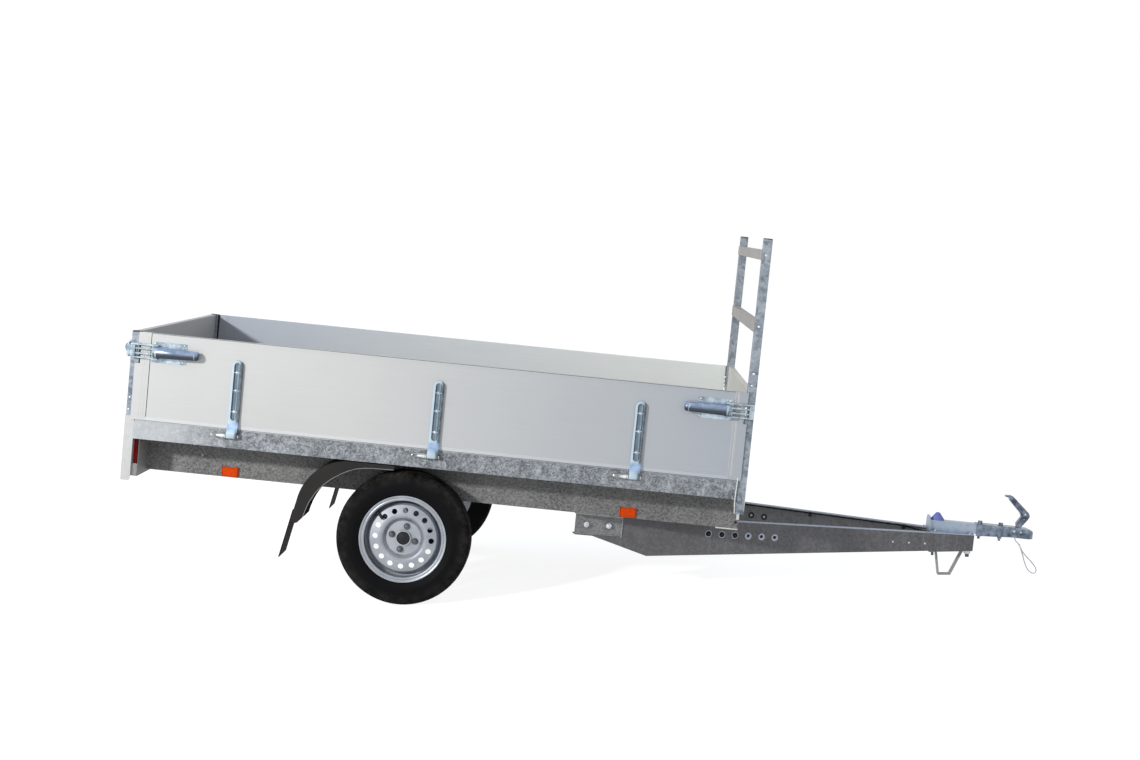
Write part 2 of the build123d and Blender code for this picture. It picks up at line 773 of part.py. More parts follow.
def drawbar_beam(side):
    """Folded C-beam, deep under the bed and tapering to the nose, with a row of round holes."""
    web, t = drawbar_plane(side), drawbar_sheet
    # x, height
    skin = ((drawbar_rear_x, 57.0), (heel_x, heel_z), (belly_x, belly_z), (nose_x, nose_low),
            (nose_x, drawbar_top(nose_x)), (drawbar_rear_x, drawbar_top(drawbar_rear_x)))
    hollow = ((drawbar_rear_x - 9, 57.0 + t), (heel_x + 1, heel_z + t), (belly_x, belly_z + t),
              (nose_x + 9, drawbar_low(nose_x + 9) + t), (nose_x + 9, drawbar_top(nose_x + 9) - t),
              (drawbar_rear_x - 9, drawbar_top(drawbar_rear_x - 9) - t))
    with BuildPart() as beam:
        with BuildSketch(web):
            outline([(along_beam(x), z) for x, z in skin])
        extrude(amount=side * drawbar_flange)
        with BuildSketch(web.offset(side * t)):
            outline([(along_beam(x), z) for x, z in hollow])
        extrude(amount=side * drawbar_flange, mode=Mode.SUBTRACT)
        with BuildSketch(web):
            with Locations([(along_beam(x), slot_z) for x in slot_x]):
                Circle(slot_radius)
        extrude(amount=side * t, mode=Mode.SUBTRACT)
    return beam


bracket_end = 905.0
bracket_bolt_x, bracket_bolt_z = (750.0, 845.0), 105.0


def drawbar_bracket(side):
    """Angle that bolts a drawbar beam's rear end under the frame beam."""
    web = drawbar_plane(side)
    shelf = drawbar_top(bracket_end) + 2
    with BuildPart() as bracket:
        with BuildSketch(web):
            outline(((-3, 60), (-3, beam_bottom), (along_beam(bracket_end), beam_bottom),
                     (along_beam(bracket_end), 60)))
        extrude(amount=-side * 5)
        with BuildSketch(Plane.XY.offset(shelf)):
            outline(((drawbar_rear_x - 3, side * (drawbar_half(drawbar_rear_x - 3) + 1)),
                     (drawbar_rear_x - 3, side * beam_outer), (bracket_end, side * beam_outer),
                     (bracket_end, side * (drawbar_half(bracket_end) + 1))))
        extrude(amount=beam_bottom - shelf)
        for radius, start, depth in ((15.0, 5.0, 2.5), (10.5, 7.5, 9.0)):
            with BuildSketch(web.offset(-side * start)):
                with Locations([(along_beam(x), bracket_bolt_z) for x in bracket_bolt_x]):
                    Circle(radius)
            extrude(amount=-side * depth)
    return bracket


def front_spacer():
    """Flat cross plate between the frame beams' front ends and the drawbar."""
    rear, front = 1298, 1392
    with BuildPart() as spacer:
        with BuildSketch(across(beam_outer)):
            outline(((rear, seat_on_drawbar(rear)), (rear, beam_bottom), (front, beam_bottom),
                     (front, seat_on_drawbar(front))))
        extrude(amount=2 * beam_outer)
    return spacer


plate_rear = 2287.0
plate_sheet = 5.0


def nose_plan(height, depth):
    """Block between the two drawbar beams' outer faces, over the nose plates' length."""
    with BuildPart() as block:
        with BuildSketch(Plane.XY.offset(height)):
            outline(((plate_rear, drawbar_half(plate_rear)), (nose_x, drawbar_nose_half),
                     (nose_x, -drawbar_nose_half), (plate_rear, -drawbar_half(plate_rear))))
        extrude(amount=depth)
    return block.part


def nose_plate():
    """Plate that ties the beams together under the nose and carries the foot."""
    plan = nose_plan(0, 200)
    with BuildPart() as plate:
        with BuildSketch(across(200)):
            outline(((plate_rear, drawbar_low(plate_rear)), (nose_x, nose_low),
                     (nose_x, nose_low - plate_sheet), (plate_rear, drawbar_low(plate_rear) - plate_sheet)))
        extrude(amount=400)
        add(plan, mode=Mode.INTERSECT)
    return plate


foot_rear_x, foot_front_x = 2360.0, 2406.0     # the foot's flat on the floor
foot_sheet, foot_width = 6.0, 40.0


def support_foot():
    """Bent flat bar under the nose that the parked trailer leans on."""
    def under(x):
        return drawbar_low(x) - plate_sheet

    rise = foot_sheet / cos(lean)
    # x, height of the bar's upper face
    bar = ((2290, under(2290)), (2337, under(2337)), (foot_rear_x, floor_height(foot_rear_x) + rise),
           (foot_front_x, floor_height(foot_front_x) + rise), (2452, under(2452)), (2488, under(2488)))
    with BuildPart() as foot:
        with BuildSketch(across(0)):
            with BuildLine():
                Polyline(bar)
                offset(amount=foot_sheet, side=Side.RIGHT, kind=Kind.INTERSECTION)
            make_face()
        extrude(amount=foot_width / 2, both=True)
    return foot


# ------------------------------------------------------------------ coupling
tube_rear, tube_front = 2292.0, 2640.0
tube_half, tube_low, tube_high, tube_wall = 27.0, 161.0, 205.0, 4.0
clamp_bolt_x, clamp_bolt_radius = (2521.0, 2614.0), 6.0


def coupling_tube():
    """Square tube on a base plate across the nose, with an upright end plate."""
    middle = (tube_low + tube_high) / 2
    plan = nose_plan(100, 200)
    with BuildPart() as tube:
        with BuildSketch(across(200)):
            outline(((plate_rear, seat_on_drawbar(plate_rear)), (nose_x, seat_on_drawbar(nose_x)),
                     (nose_x, tube_low), (plate_rear, tube_low)))
        extrude(amount=400)
        add(plan, mode=Mode.INTERSECT)
        with BuildSketch(along(tube_rear)):
            with Locations((0, middle)):
                Rectangle(2 * tube_half, tube_high - tube_low)
                Rectangle(2 * (tube_half - tube_wall), tube_high - tube_low - 2 * tube_wall,
                          mode=Mode.SUBTRACT)
        extrude(amount=tube_front - tube_rear)
        with BuildSketch(along(tube_rear - 5)):
            outline(((-46, tube_low - 1), (-46, 205), (-30, 222), (30, 222), (46, 205), (46, tube_low - 1)))
        extrude(amount=5)
        with BuildSketch(Plane.XY.offset(tube_low)):
            with Locations([(x, 0) for x in clamp_bolt_x]):
                Circle(clamp_bolt_radius + 0.5)
        extrude(amount=tube_high - tube_low, mode=Mode.SUBTRACT)
    return tube


head_rear, head_half, head_high = 2502.0, 31.0, 208.0
nose_radius = 36.0
mouth_z = 162.0


def coupling_head():
    """Pressed coupling head: channel over the tube, rounded nose and the ball socket in it."""
    tip = ball_x + nose_radius
    with BuildPart() as head:
        with BuildSketch(Plane.XY.offset(140)):
            with Locations(((head_rear + ball_x) / 2, 0)):
                Rectangle(ball_x - head_rear, 2 * head_half)
            with Locations((ball_x, 0)):
                Circle(nose_radius)
        extrude(amount=80)
        with BuildSketch(across(50)):
            outline(((head_rear, 153), (head_rear, head_high), (2690, head_high), (2736, 205),
                     (2754, 198), (tip, 187), (tip, mouth_z), (2660, mouth_z)))
        extrude(amount=100, mode=Mode.INTERSECT)
        with BuildSketch(Plane.XY.offset(140)):
            with Locations(((head_rear + 2660) / 2, 0)):
                Rectangle(2660 - head_rear, 2 * tube_half)
        extrude(amount=tube_high - 140, mode=Mode.SUBTRACT)
        with BuildSketch(Plane.XY.offset(140)):
            with Locations((ball_x, 0)):
                Circle(ball_radius)
        extrude(amount=ball_height - 140, mode=Mode.SUBTRACT)
        with Locations((ball_x, 0, ball_height)):
            Sphere(ball_radius, mode=Mode.SUBTRACT)
        # radius, lowest, highest; the nuts bear on the tube's underside
        for radius, low, high in ((clamp_bolt_radius, 138, 212), (12, head_high, 210), (10, 210, 220),
                                  (10, 149, 158), (12, 158, tube_low)):
            with BuildSketch(Plane.XY.offset(low)):
                with Locations([(x, 0) for x in clamp_bolt_x]):
                    Circle(radius)
            extrude(amount=high - low)
    return head


def coupling_handle():
    """Raised release lever: cranked pressed strip with punched holes."""
    crank = ((2684, head_high), (2702, head_high), (2730, 247), (2737, 262), (2732, 276), (2655, 344),
             (2645, 349), (2620, 347), (2619, 341), (2636, 338), (2640, 326), (2694, 272),
             (2700, 258), (2680, 224))
    # hole centre and radius
    holes = (((2648, 336), 4.0), ((2718, 268), 5.5), ((2713, 246), 4.0))
    with BuildPart() as handle:
        with BuildSketch(across(0)):
            outline(crank)
            for centre, radius in holes:
                with Locations(centre):
                    Circle(radius, mode=Mode.SUBTRACT)
        extrude(amount=15, both=True)
    return handle


def plug():
    """Trailer plug parked nose-down in the tube, its domed grip upwards."""
    with BuildPart() as grip:
        with BuildSketch(across(0)):
            with BuildLine():
                Polyline((plug_x, tube_high), (plug_x + 30, tube_high), (plug_x + 30, tube_high + 5),
                         (plug_x + 25, tube_high + 12), (plug_x + 8, tube_high + 33),
                         (plug_x, tube_high + 35), (plug_x, tube_high))
            make_face()
        revolve(axis=Axis((plug_x, 0, 0), (0, 0, 1)))
    return grip


arc_share = 0.45      # part of the shorter run that a corner's arc may use


def corner_radii(points):
    """Radius of the tangent arc at each inner corner of a route."""
    radii = []
    for before, corner, after in zip(points, points[1:], points[2:]):
        arriving, leaving = Vector(*corner) - Vector(*before), Vector(*after) - Vector(*corner)
        half_turn = radians(arriving.get_angle(leaving)) / 2
        radii.append(arc_share * min(arriving.length, leaving.length) / tan(half_turn))
    return radii


def sweep_tube(points, radius):
    """Round tube of straight runs joined by tangent arcs."""
    with BuildPart() as tube:
        with BuildLine() as route:
            FilletPolyline(*points, radius=corner_radii(points))
        with BuildSketch(Plane(origin=points[0], z_dir=Vector(*points[1]) - Vector(*points[0]))):
            Circle(radius)
        sweep(path=route.line)
    return tube


lead_radius, lead_inset = 4.5, 22.0


def lighting_cable():
    """Lighting lead: clipped under the left drawbar beam's top flange, then along the frame beam."""
    drop = drawbar_sheet + lead_radius + 0.1

    def in_beam(x):
        return (x, drawbar_half(x) - lead_inset, drawbar_top(x) - drop)
    def beside_beam(x, z):
        return (x, drawbar_half(x) - 64, z)

    run_y, run_z = beam_outer - beam_flange / 2, 262.0
    points = [(2322, 14, 140), (2270, 40, 142), in_beam(2195), in_beam(1430), beside_beam(1345, 140),
              beside_beam(1240, 146), (1165, 395, 215), (1090, 480, 250), (1000, run_y, run_z),
              (lamp_board_x + rail_sheet, run_y, run_z)]
    run = sweep_tube(points, lead_radius)
    with BuildPart() as lead:
        add(run.part)
        for x in (2140, 1790, 1440):
            with BuildSketch(Plane(origin=in_beam(x), x_dir=drawbar_plane(1).x_dir, z_dir=(0, 0, 1))):
                Rectangle(12, 16)
            extrude(amount=lead_radius)
        with BuildSketch(Plane(origin=points[0], x_dir=(1, 0, 0), z_dir=(0, 0, 1))):
            Circle(9)
        extrude(amount=drawbar_top(points[0][0]) - 140)
    return lead


# safety cable: a loop under the coupling head, hanging from a pressed ferrule
cable_radius = 2.4
loop_side = -33.0              # the loop hangs beside the ball socket
ferrule_size, ferrule_length = (13.5, 8.0), 20.0


def loop_route():
    """Corners of the safety cable's route, from the head down, round the loop and back up."""
    down, back = loop_side - 2.6, loop_side + 2.6
    return [
        (2676, -27, 166), (2680, -28.5, 150), (2698, down, 137), (2711, down, 113), (2727, down, 92),
        (2766, down + 1, 60), (2793, loop_side, 28), (2781, back - 1, 7), (2752, back, 20),
        (2732, back, 58), (2719, back, 94), (2709, back, 115), (2701, back, 131),
    ]


def safety_cable():
    """Breakaway cable that hangs from the coupling head in a loop."""
    print("safety cable arc radii", [round(r, 2) for r in corner_radii(loop_route())])
    return sweep_tube(loop_route(), cable_radius)


def cable_ferrule():
    """Pressed oval ferrule that closes the cable's loop."""
    cable = safety_cable()
    before, after = Vector(*loop_route()[2]), Vector(*loop_route()[3])
    middle = (before + after) * 0.5 + Vector(0, loop_side - before.Y, 0)
    run = (after - before).normalized()
    with BuildPart() as ferrule:
        with BuildSketch(Plane(origin=middle, x_dir=(0, 1, 0), z_dir=run)):
            SlotOverall(*ferrule_size)
        extrude(amount=ferrule_length / 2, both=True)
        add(cable.part, mode=Mode.SUBTRACT)
    return ferrule


# ------------------------------------------------------------------ mudguards
guard_outer, guard_inner, guard_sheet = 772.0, 602.0, 3.0
guard_front, guard_crown = -60.0, 303.0
guard_knee, guard_toe = (-414.0, 303.0), (-470.0, 36.0)
guard_radius = 216.0
# lower edge of the skirts: the rounded end, then two arcs forward to the crown
skirt_end = ((-464.0, 27.0), (-452.0, 23.0), (-441.0, 27.0), (-421.0, 50.0))
skirt_arcs = (((-421.0, 50.0), (-374.0, 162.0), (-278.0, 247.0)),
              ((-278.0, 247.0), (-219.0, 274.0), (-150.0, 284.0)))
skirt_front = 286.0
guard_mid, guard_reach = (guard_outer + guard_inner) / 2, (guard_outer - guard_inner) / 2
guard_rake = (guard_knee[0] - guard_toe[0]) / (guard_knee[1] - guard_toe[1])
stays = ((-397.0, 186.0), (-180.0, 294.0))


def guard_back(height):
    """Rear face of the guard's straight lower run, at that height."""
    return guard_toe[0] + (height - guard_toe[1]) * guard_rake


def mudguard(side):
    """Moulded guard over the wheel's rear quarter: crown, a skirt down each edge, two stays."""
    under = guard_crown - guard_sheet
    inside = (guard_knee[0] + guard_sheet, under)
    tail = (guard_back(15) + guard_sheet, 15)
    with BuildPart() as guard:
        with BuildSketch(across(side * guard_mid)):
            with BuildLine():
                FilletPolyline((guard_front, guard_crown), guard_knee, guard_toe, radius=guard_radius)
                Polyline(guard_toe, *skirt_end)
                for arc in skirt_arcs:
                    ThreePointArc(*arc)
                Polyline(skirt_arcs[-1][-1], (guard_front, skirt_front), (guard_front, guard_crown))
            make_face()
        extrude(amount=guard_reach, both=True)
        with BuildSketch(across(side * guard_mid)):
            with BuildLine():
                FilletPolyline((guard_front + 9, under), inside, tail, radius=guard_radius - guard_sheet)
                Polyline(tail, (guard_front + 9, 15), (guard_front + 9, under))
            make_face()
        extrude(amount=guard_reach - guard_sheet, both=True, mode=Mode.SUBTRACT)
        with BuildSketch(outward(side, beam_outer)):
            with Locations([(x, -side * z) for x, z in stays]):
                Rectangle(36, 16)
        extrude(amount=guard_inner - beam_outer)
    return guard


flap_top, flap_low, flap_sheet = 78.0, -125.0, 4.0


def mud_flap(side):
    """Rubber flap riveted behind the guard's lower run."""
    lean_back = flap_sheet * hypot(1, guard_rake)
    with BuildPart() as flap:
        with BuildSketch(across(side * guard_mid)):
            outline(((guard_back(flap_top), flap_top), (guard_back(flap_low), flap_low),
                     (guard_back(flap_low) - lean_back, flap_low),
                     (guard_back(flap_top) - lean_back, flap_top)))
        extrude(amount=guard_reach - 2, both=True)
    return flap


# ------------------------------------------------------------------ the parked trailer
pieces = {}
for name, side in sides:
    hand = "_" + name
    board_ends = ((board_rear_end, side * bed_half_width, latch_height),
                  (board_front_end, side * bed_half_width, latch_height))
    out = (0, side, 0)
    pieces |= {
        "tyre" + hand: tyre(side),
        "rim" + hand: rim(side),
        "hub" + hand: hub(side),
        "hub_cap" + hand: hub_cap(side),
        "swing_arm" + hand: swing_arm(side),
        "side_rail" + hand: side_rail(side),
        "frame_beam" + hand: frame_beam(side),
        "rear_post" + hand: rear_post(side),
        "rack_post" + hand: rack_post(side),
        "side_board" + hand: side_board(side),
        "hinge_straps" + hand: hinge_straps([((x, side * side_pin_y, hinge_height), out)
                                             for x in side_strap_x]),
        "latches" + hand: latches([(board_ends[0], (1, 0, 0), out), (board_ends[1], (-1, 0, 0), out)]),
        "tail_lamp" + hand: tail_lamp(side),
        "drawbar_beam" + hand: drawbar_beam(side),
        "drawbar_bracket" + hand: drawbar_bracket(side),
        "mudguard" + hand: mudguard(side),
        "mud_flap" + hand: mud_flap(side),
    }
for name, low, high in rack_bars:
    pieces[f"rack_bar_{name}"] = rack_bar(low, high)
rearward = (-1, 0, 0)
pieces |= {
    "cross_members": cross_members(),
    "rear_rail": rear_rail(),
    "front_rail": front_rail(),
    "floor_panel": floor_panel(),
    "post_caps": post_caps(),
    "front_board": front_board(),
    "tailgate_board": tailgate_board(),
    "tailgate_straps": hinge_straps([((tailgate_pin_x, y, hinge_height), rearward)
                                     for y in tailgate_strap_y]),
    "tailgate_latches": latches([((rear_x, side * tailgate_half, latch_height),
                                  (0, -side, 0), rearward) for _, side in sides]),
    "lamp_board": lamp_board(),
    "side_reflectors": side_reflectors(),
    "axle_beam": axle_beam(),
    "front_spacer": front_spacer(),
    "nose_plate": nose_plate(),
    "support_foot": support_foot(),
    "coupling_tube": coupling_tube(),
    "coupling_head": coupling_head(),
    "coupling_handle": coupling_handle(),
    "plug": plug(),
    "lighting_cable": lighting_cable(),
    "safety_cable": safety_cable(),
    "cable_ferrule": cable_ferrule(),
}

tilt = Location((0, 0, tyre_radius), (0, degrees(lean), 0))
boxes = [piece.part.moved(tilt).bounding_box() for name, piece in pieces.items()
         if name != "safety_cable"]
rear_end, front_end = min(box.min.X for box in boxes), max(box.max.X for box in boxes)
shift_x = -(rear_end + front_end) / 2
park = Location((shift_x, 0, tyre_radius), (0, degrees(lean), 0))
print("length", front_end - rear_end, "width", 2 * max(box.max.Y for box in boxes),
      "height", max(box.max.Z for box in boxes), "lowest", min(box.min.Z for box in boxes))
print("shift", shift_x)


def parked(x, y, z):
    """A level-frame point as it stands when parked."""
    return tuple(round(v, 3) for v in (park * Location((x, y, z))).position)


print("wheel axis", parked(0, track_half, 0))
print("side board pin", parked(0, side_pin_y, hinge_height))
print("tailgate pin", parked(tailgate_pin_x, 0, hinge_height))
print("socket mouth", parked(ball_x, 0, mouth_z))
print("safety cable", [parked(*point) for point in loop_route()])

for name, piece in pieces.items():
    placed = piece.part.moved(park)
    placed.label = name
    export_step(placed, f"parts/{name}.step")
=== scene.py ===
# Dresses the parked drop-side trailer: finishes, tyre tread, fastenings, cable, light and camera.
import json
import math
import bmesh
import bpy
from mathutils import Matrix, Vector


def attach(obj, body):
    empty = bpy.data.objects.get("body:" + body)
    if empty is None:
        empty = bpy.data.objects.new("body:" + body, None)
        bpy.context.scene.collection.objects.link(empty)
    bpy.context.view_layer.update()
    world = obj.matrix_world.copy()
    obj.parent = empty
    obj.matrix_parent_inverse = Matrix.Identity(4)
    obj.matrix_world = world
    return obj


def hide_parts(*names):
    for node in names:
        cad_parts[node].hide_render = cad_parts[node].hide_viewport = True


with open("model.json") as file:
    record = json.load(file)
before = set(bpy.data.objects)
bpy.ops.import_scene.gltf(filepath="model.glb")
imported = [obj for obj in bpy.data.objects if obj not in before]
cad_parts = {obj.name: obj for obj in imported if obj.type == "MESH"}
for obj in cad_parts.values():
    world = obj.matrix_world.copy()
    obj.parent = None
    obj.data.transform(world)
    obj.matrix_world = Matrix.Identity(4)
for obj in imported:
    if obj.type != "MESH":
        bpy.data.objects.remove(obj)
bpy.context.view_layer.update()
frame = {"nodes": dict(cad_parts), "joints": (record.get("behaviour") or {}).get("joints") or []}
print("frame loaded:", len(frame["nodes"]), "nodes")

# The trailer leans nose-down. Lengths below are millimetres in its own level frame, from the middle
# of the wheel axle: x forward along the deck, y left, z up.
joints = {joint["name"]: joint for joint in frame["joints"]}
deckAxis = joints["side_board_right"]["axis"]
axle = joints["wheel_right"]["pos_m"]
lean = math.atan2(-deckAxis[2], deckAxis[0])
levelToWorld = (Matrix.Translation((axle[0], 0, axle[2])) @ Matrix.Rotation(lean, 4, "Y")
                @ Matrix.Scale(0.001, 4))
# the axle's height and place along the deck, in metres from the world's origin turned level
axleLevel = axle[0] * math.sin(lean) + axle[2] * math.cos(lean)
axleAlong = axle[0] * math.cos(lean) - axle[2] * math.sin(lean)
sides = {"left": 1, "right": -1}


# ---- shader wiring
class Wire:
    # A shader socket that takes part in sums and products.
    def __init__(self, graph, socket):
        self.graph, self.socket = graph, socket

    def maths(self, operation, *inputs):
        return self.graph.node("ShaderNodeMath", {"operation": operation}, dict(enumerate(inputs)))

    def __add__(self, other):
        return self.maths("ADD", self, other)

    def __radd__(self, other):
        return self.maths("ADD", other, self)

    def __sub__(self, other):
        return self.maths("SUBTRACT", self, other)

    def __rsub__(self, other):
        return self.maths("SUBTRACT", other, self)

    def __mul__(self, other):
        return self.maths("MULTIPLY", self, other)


class Graph:
    # One node tree, wired by adding, multiplying and mixing its sockets.
    def __init__(self, tree):
        self.tree = tree

    def node(self, kind, settings=None, values=None, out=0):
        made = self.tree.nodes.new(kind)
        for name, value in (settings or {}).items():
            if name == "stops":
                self.setStops(made.color_ramp, value)
            else:
                setattr(made, name, value)
        for key, value in (values or {}).items():
            self.feed(made.inputs[key], value)
        return Wire(self, made.outputs[out])

    def feed(self, socket, value):
        if isinstance(value, Wire):
            self.tree.links.new(value.socket, socket)
        elif hasattr(value, "__len__") and socket.type == "RGBA":
            socket.default_value = (*value[:3], 1)
        else:
            socket.default_value = value

    def setStops(self, ramp, stops):
        while len(ramp.elements) < len(stops):
            ramp.elements.new(1)
        for element, (place, shade) in zip(ramp.elements, stops):
            element.position = place
            element.color = (*shade, 1) if hasattr(shade, "__len__") else (shade, shade, shade, 1)

    def vectors(self, operation, *inputs, out=0):
        settings = {"operation": operation}
        return self.node("ShaderNodeVectorMath", settings, dict(enumerate(inputs)), out)

    def noise(self, scale, detail=3, roughness=0.5, stretch=(1, 1, 1)):
        return self.node("ShaderNodeTexNoise", {}, {"Vector": self.place(stretch), "Scale": scale,
                                                   "Detail": detail, "Roughness": roughness})

    def cells(self, scale, feature="F1", out=0):
        return self.node("ShaderNodeTexVoronoi", {"feature": feature},
                         {"Vector": self.place(), "Scale": scale}, out)

    def bands(self, direction, scale, distortion=0):
        return self.node("ShaderNodeTexWave", {"wave_type": "BANDS", "bands_direction": direction},
                         {"Vector": self.place(), "Scale": scale, "Distortion": distortion})

    def ramp(self, value, stops):
        return self.node("ShaderNodeValToRGB", {"stops": stops}, {"Fac": value})

    def climb(self, value, low, high):
        # 0 up to low, 1 from high on
        return self.node("ShaderNodeMapRange", {}, {0: value, 1: low, 2: high})

    def blend(self, share, first, second):
        return self.node("ShaderNodeMix", {"data_type": "RGBA"}, {0: share, 6: first, 7: second}, 2)

    def split(self, vector, out):
        return self.node("ShaderNodeSeparateXYZ", {}, {"Vector": vector}, out)

    def red(self, colour):
        return self.node("ShaderNodeSeparateColor", {}, {"Color": colour})

    def level(self, low, high):
        # climbs between two heights over the axle, in millimetres
        return self.climb(self.split(self.place(), 2) - axleLevel, low / 1000, high / 1000)

    def along(self, rear, front):
        # climbs between two places along the deck, in millimetres from the axle
        return self.climb(self.split(self.place(), 0) - axleAlong, rear / 1000, front / 1000)

    def upward(self):
        return self.split(self.node("ShaderNodeNewGeometry", out="Normal"), 2)

    def watched(self):
        # 1 for the rays that look at a thing directly, in a mirror or through glass
        rays = [self.node("ShaderNodeLightPath", out=name)
                for name in ("Is Camera Ray", "Is Glossy Ray", "Is Transmission Ray")]
        return rays[0].maths("MAXIMUM", rays[0], rays[0].maths("MAXIMUM", rays[1], rays[2]))

    def place(self, stretch=(1, 1, 1)):
        # metres along the deck, across it and up from it, each multiplied by stretch
        local = self.node("ShaderNodeTexCoord", out=3)
        level = self.node("ShaderNodeMapping", {}, {"Vector": local, "Rotation": (0, -lean, 0)})
        return self.node("ShaderNodeMapping", {}, {"Vector": level, "Scale": stretch})


class Finish(Graph):
    # One procedural material: a graph that ends in a Principled shader.
    def __init__(self, name, **fixed):
        self.material = bpy.data.materials.new(name)
        self.material.use_nodes = True
        super().__init__(self.material.node_tree)
        self.tree.nodes.clear()
        self.shader = self.tree.nodes.new("ShaderNodeBsdfPrincipled")
        output = self.tree.nodes.new("ShaderNodeOutputMaterial")
        self.tree.links.new(self.shader.outputs[0], output.inputs[0])
        for socket, value in fixed.items():
            self.give(socket.replace("_", " "), value)

    def give(self, socket, value):
        self.feed(self.shader.inputs[socket], value)

    def finish(self, skin, roughness, height, strength, depth):
        self.give("Base Color", skin)
        self.give("Roughness", roughness)
        self.give("Normal", self.node("ShaderNodeBump", {}, {"Height": height, "Strength": strength,
                                                             "Distance": depth}))
        return self.material


# ---- hot-dip zinc
zincMarks = {
    "top": (0.36, 0.41, 0.52), "facing": ((0.6, 0), (0.85, 1)),     # painted sky reflection: upward faces lighter and bluer
    "guard": (0.50, 0.50, 0.495), "guardTop": (401, 403),           # folded sheet below the rear posts
    "railLitEnd": (0.56, 0.575, 0.585), "railLightFade": (-1020, -600),     # painted light: the rails lighter at their rear ends
    "railCloud": ((0.38, 0.70), (0.62, 1.24)),
    "run": (0.40, 0.41, 0.43), "runShare": 0.2,                     # runs down the drawbar's webs
    "runLines": ((0.56, 0), (0.72, 1)), "runPatches": ((0.50, 0), (0.62, 1)),
}


def markRail(zinc, skin):
    clouds = zinc.ramp(zinc.noise(26, 5, 0.7), zincMarks["railCloud"])
    skin = zinc.vectors("MULTIPLY", skin, clouds)
    # painted light: the rails' rear ends lighter, fading toward the front
    return zinc.blend(zinc.along(*zincMarks["railLightFade"]) + 0.35, zincMarks["railLitEnd"], skin)


def paintSkyOnTop(zinc, skin):
    # painted sky reflection: faces that look up turn lighter and bluer
    return zinc.blend(zinc.ramp(zinc.upward(), zincMarks["facing"]), skin, zincMarks["top"])


def markRuns(zinc, skin):
    lines = zinc.ramp(zinc.noise(55, 2, 0.6, (1, 1, 0.03)), zincMarks["runLines"])
    patches = zinc.ramp(zinc.noise(2.1, 2, 0.5, (1, 1, 0.3)), zincMarks["runPatches"])
    return zinc.blend(lines * patches * zincMarks["runShare"], skin, zincMarks["run"])


def markGuard(zinc, skin):
    return zinc.blend(zinc.level(*zincMarks["guardTop"]), zincMarks["guard"], skin)


postShades = ((0.115, 0.145, 0.185), (0.43, 0.465, 0.505), 60, 0.55, (0.40, 0.60, 0.45))
zincLook = {
    # name: dull and bright shade, spangles per metre, metallic, shares of flower, cloud and runs, marks
    "railZinc": ((0.09, 0.10, 0.115), (0.44, 0.46, 0.48), 160, 0.40, (0.45, 0.45, 0.30), markRail),
    "beamZinc": ((0.068, 0.067, 0.065), (0.325, 0.32, 0.31), 170, 0.25, (0.45, 0.45, 0.25), paintSkyOnTop),
    "postZinc": postShades,
    "rearPostZinc": (*postShades, markGuard),
    "drawbarZinc": ((0.095, 0.092, 0.096), (0.20, 0.197, 0.205), 90, 0.30, (0.40, 0.50, 0.30),
                    markRuns, paintSkyOnTop),
    # painted light: a lighter copy of the drawbar's zinc, for the far beam's inner face
    "farBeamZinc": ((0.17, 0.168, 0.172), (0.34, 0.335, 0.345), 90, 0.30, (0.40, 0.50, 0.30), paintSkyOnTop),
    "sheetZinc": ((0.31, 0.295, 0.275), (0.50, 0.48, 0.45), 70, 0.30, (0.35, 0.75, 0.45)),
    "flangeZinc": ((0.36, 0.40, 0.48), (0.62, 0.66, 0.74), 80, 0.45, (0.35, 0.75, 0.45)),
    "bracketZinc": ((0.15, 0.15, 0.15), (0.36, 0.36, 0.355), 120, 0.30, (0.45, 0.60, 0.40)),
    # pale zinc; on the front spacer and along the drawbar brackets' front edges it is painted highlight
    "edgeZinc": ((0.62, 0.61, 0.58), (0.86, 0.85, 0.80), 60, 0.30, (0.35, 0.60, 0.30)),
}


def makeZinc(name, dull, bright, perMetre, metallic, shares, *marks):
    # Hot-dip zinc: crystal flowers, cloudy patches and runs.
    zinc, (flowerShare, cloudShare, runShare) = Finish(name, Metallic=metallic), shares
    flower = zinc.red(zinc.cells(perMetre, out=1))
    grain = zinc.cells(perMetre * 2.6)
    clouds = zinc.noise(3.2, 5, 0.6)
    runs = zinc.noise(9, 4, 0.6, (1.6, 1.6, 0.35))
    shade = (flower * flowerShare + clouds * cloudShare + runs * runShare - grain * 0.25 + 0.55
             - sum(shares) * 0.5)
    skin = zinc.blend(zinc.ramp(shade, ((0.12, 0), (0.78, 1))), dull, bright)
    for mark in marks:
        skin = mark(zinc, skin)
    height = flower * 0.5 + grain * 0.4 + zinc.noise(240, 2) * 0.3
    return zinc.finish(skin, 0.42 + flower * 0.16 + clouds * 0.10, height, 0.22, 0.0006)


# ---- blue zinc plating
strapPaint = {
    "face": (0.7795, 0.7835),           # metres from the trailer's middle to a strap's web and its rim
    "first": -1.1575, "apart": 0.835,   # metres from the axle to where the straps' pattern repeats
    "web": (0.4025, 0.4325), "edge": (0.3955, 0.4395),      # the web and the strap, within one repeat
    # painted shade and light: a dark channel with lit and shaded stripes, a lit left rim and a shaded right
    # rim
    "channel": ((0.035, 0.055, 0.075), (0.36, 0.46, 0.54)),
    "stripes": ((0, 0), (0.16, 0.10), (0.28, 0.45), (0.56, 0.40), (0.66, 1), (0.78, 0.30),
                (1, 0.05)),
    "rims": ((0, (0.50, 0.61, 0.69)), (0.68, (0.38, 0.48, 0.56)), (0.80, (0.16, 0.21, 0.25)),
             (0.88, (0.025, 0.035, 0.045))),
    # painted highlight: a brighter, bluer foot
    "foot": ((0.20, 0.30, 0.48), (0.42, 0.55, 0.76)), "footStart": (374, 392), "footEnd": (408, 424),
}
leverPaint = {"underside": (0.055, 0.066, 0.085), "facing": (-0.30, 0.60)}      # painted shade: levers darker on faces that look down
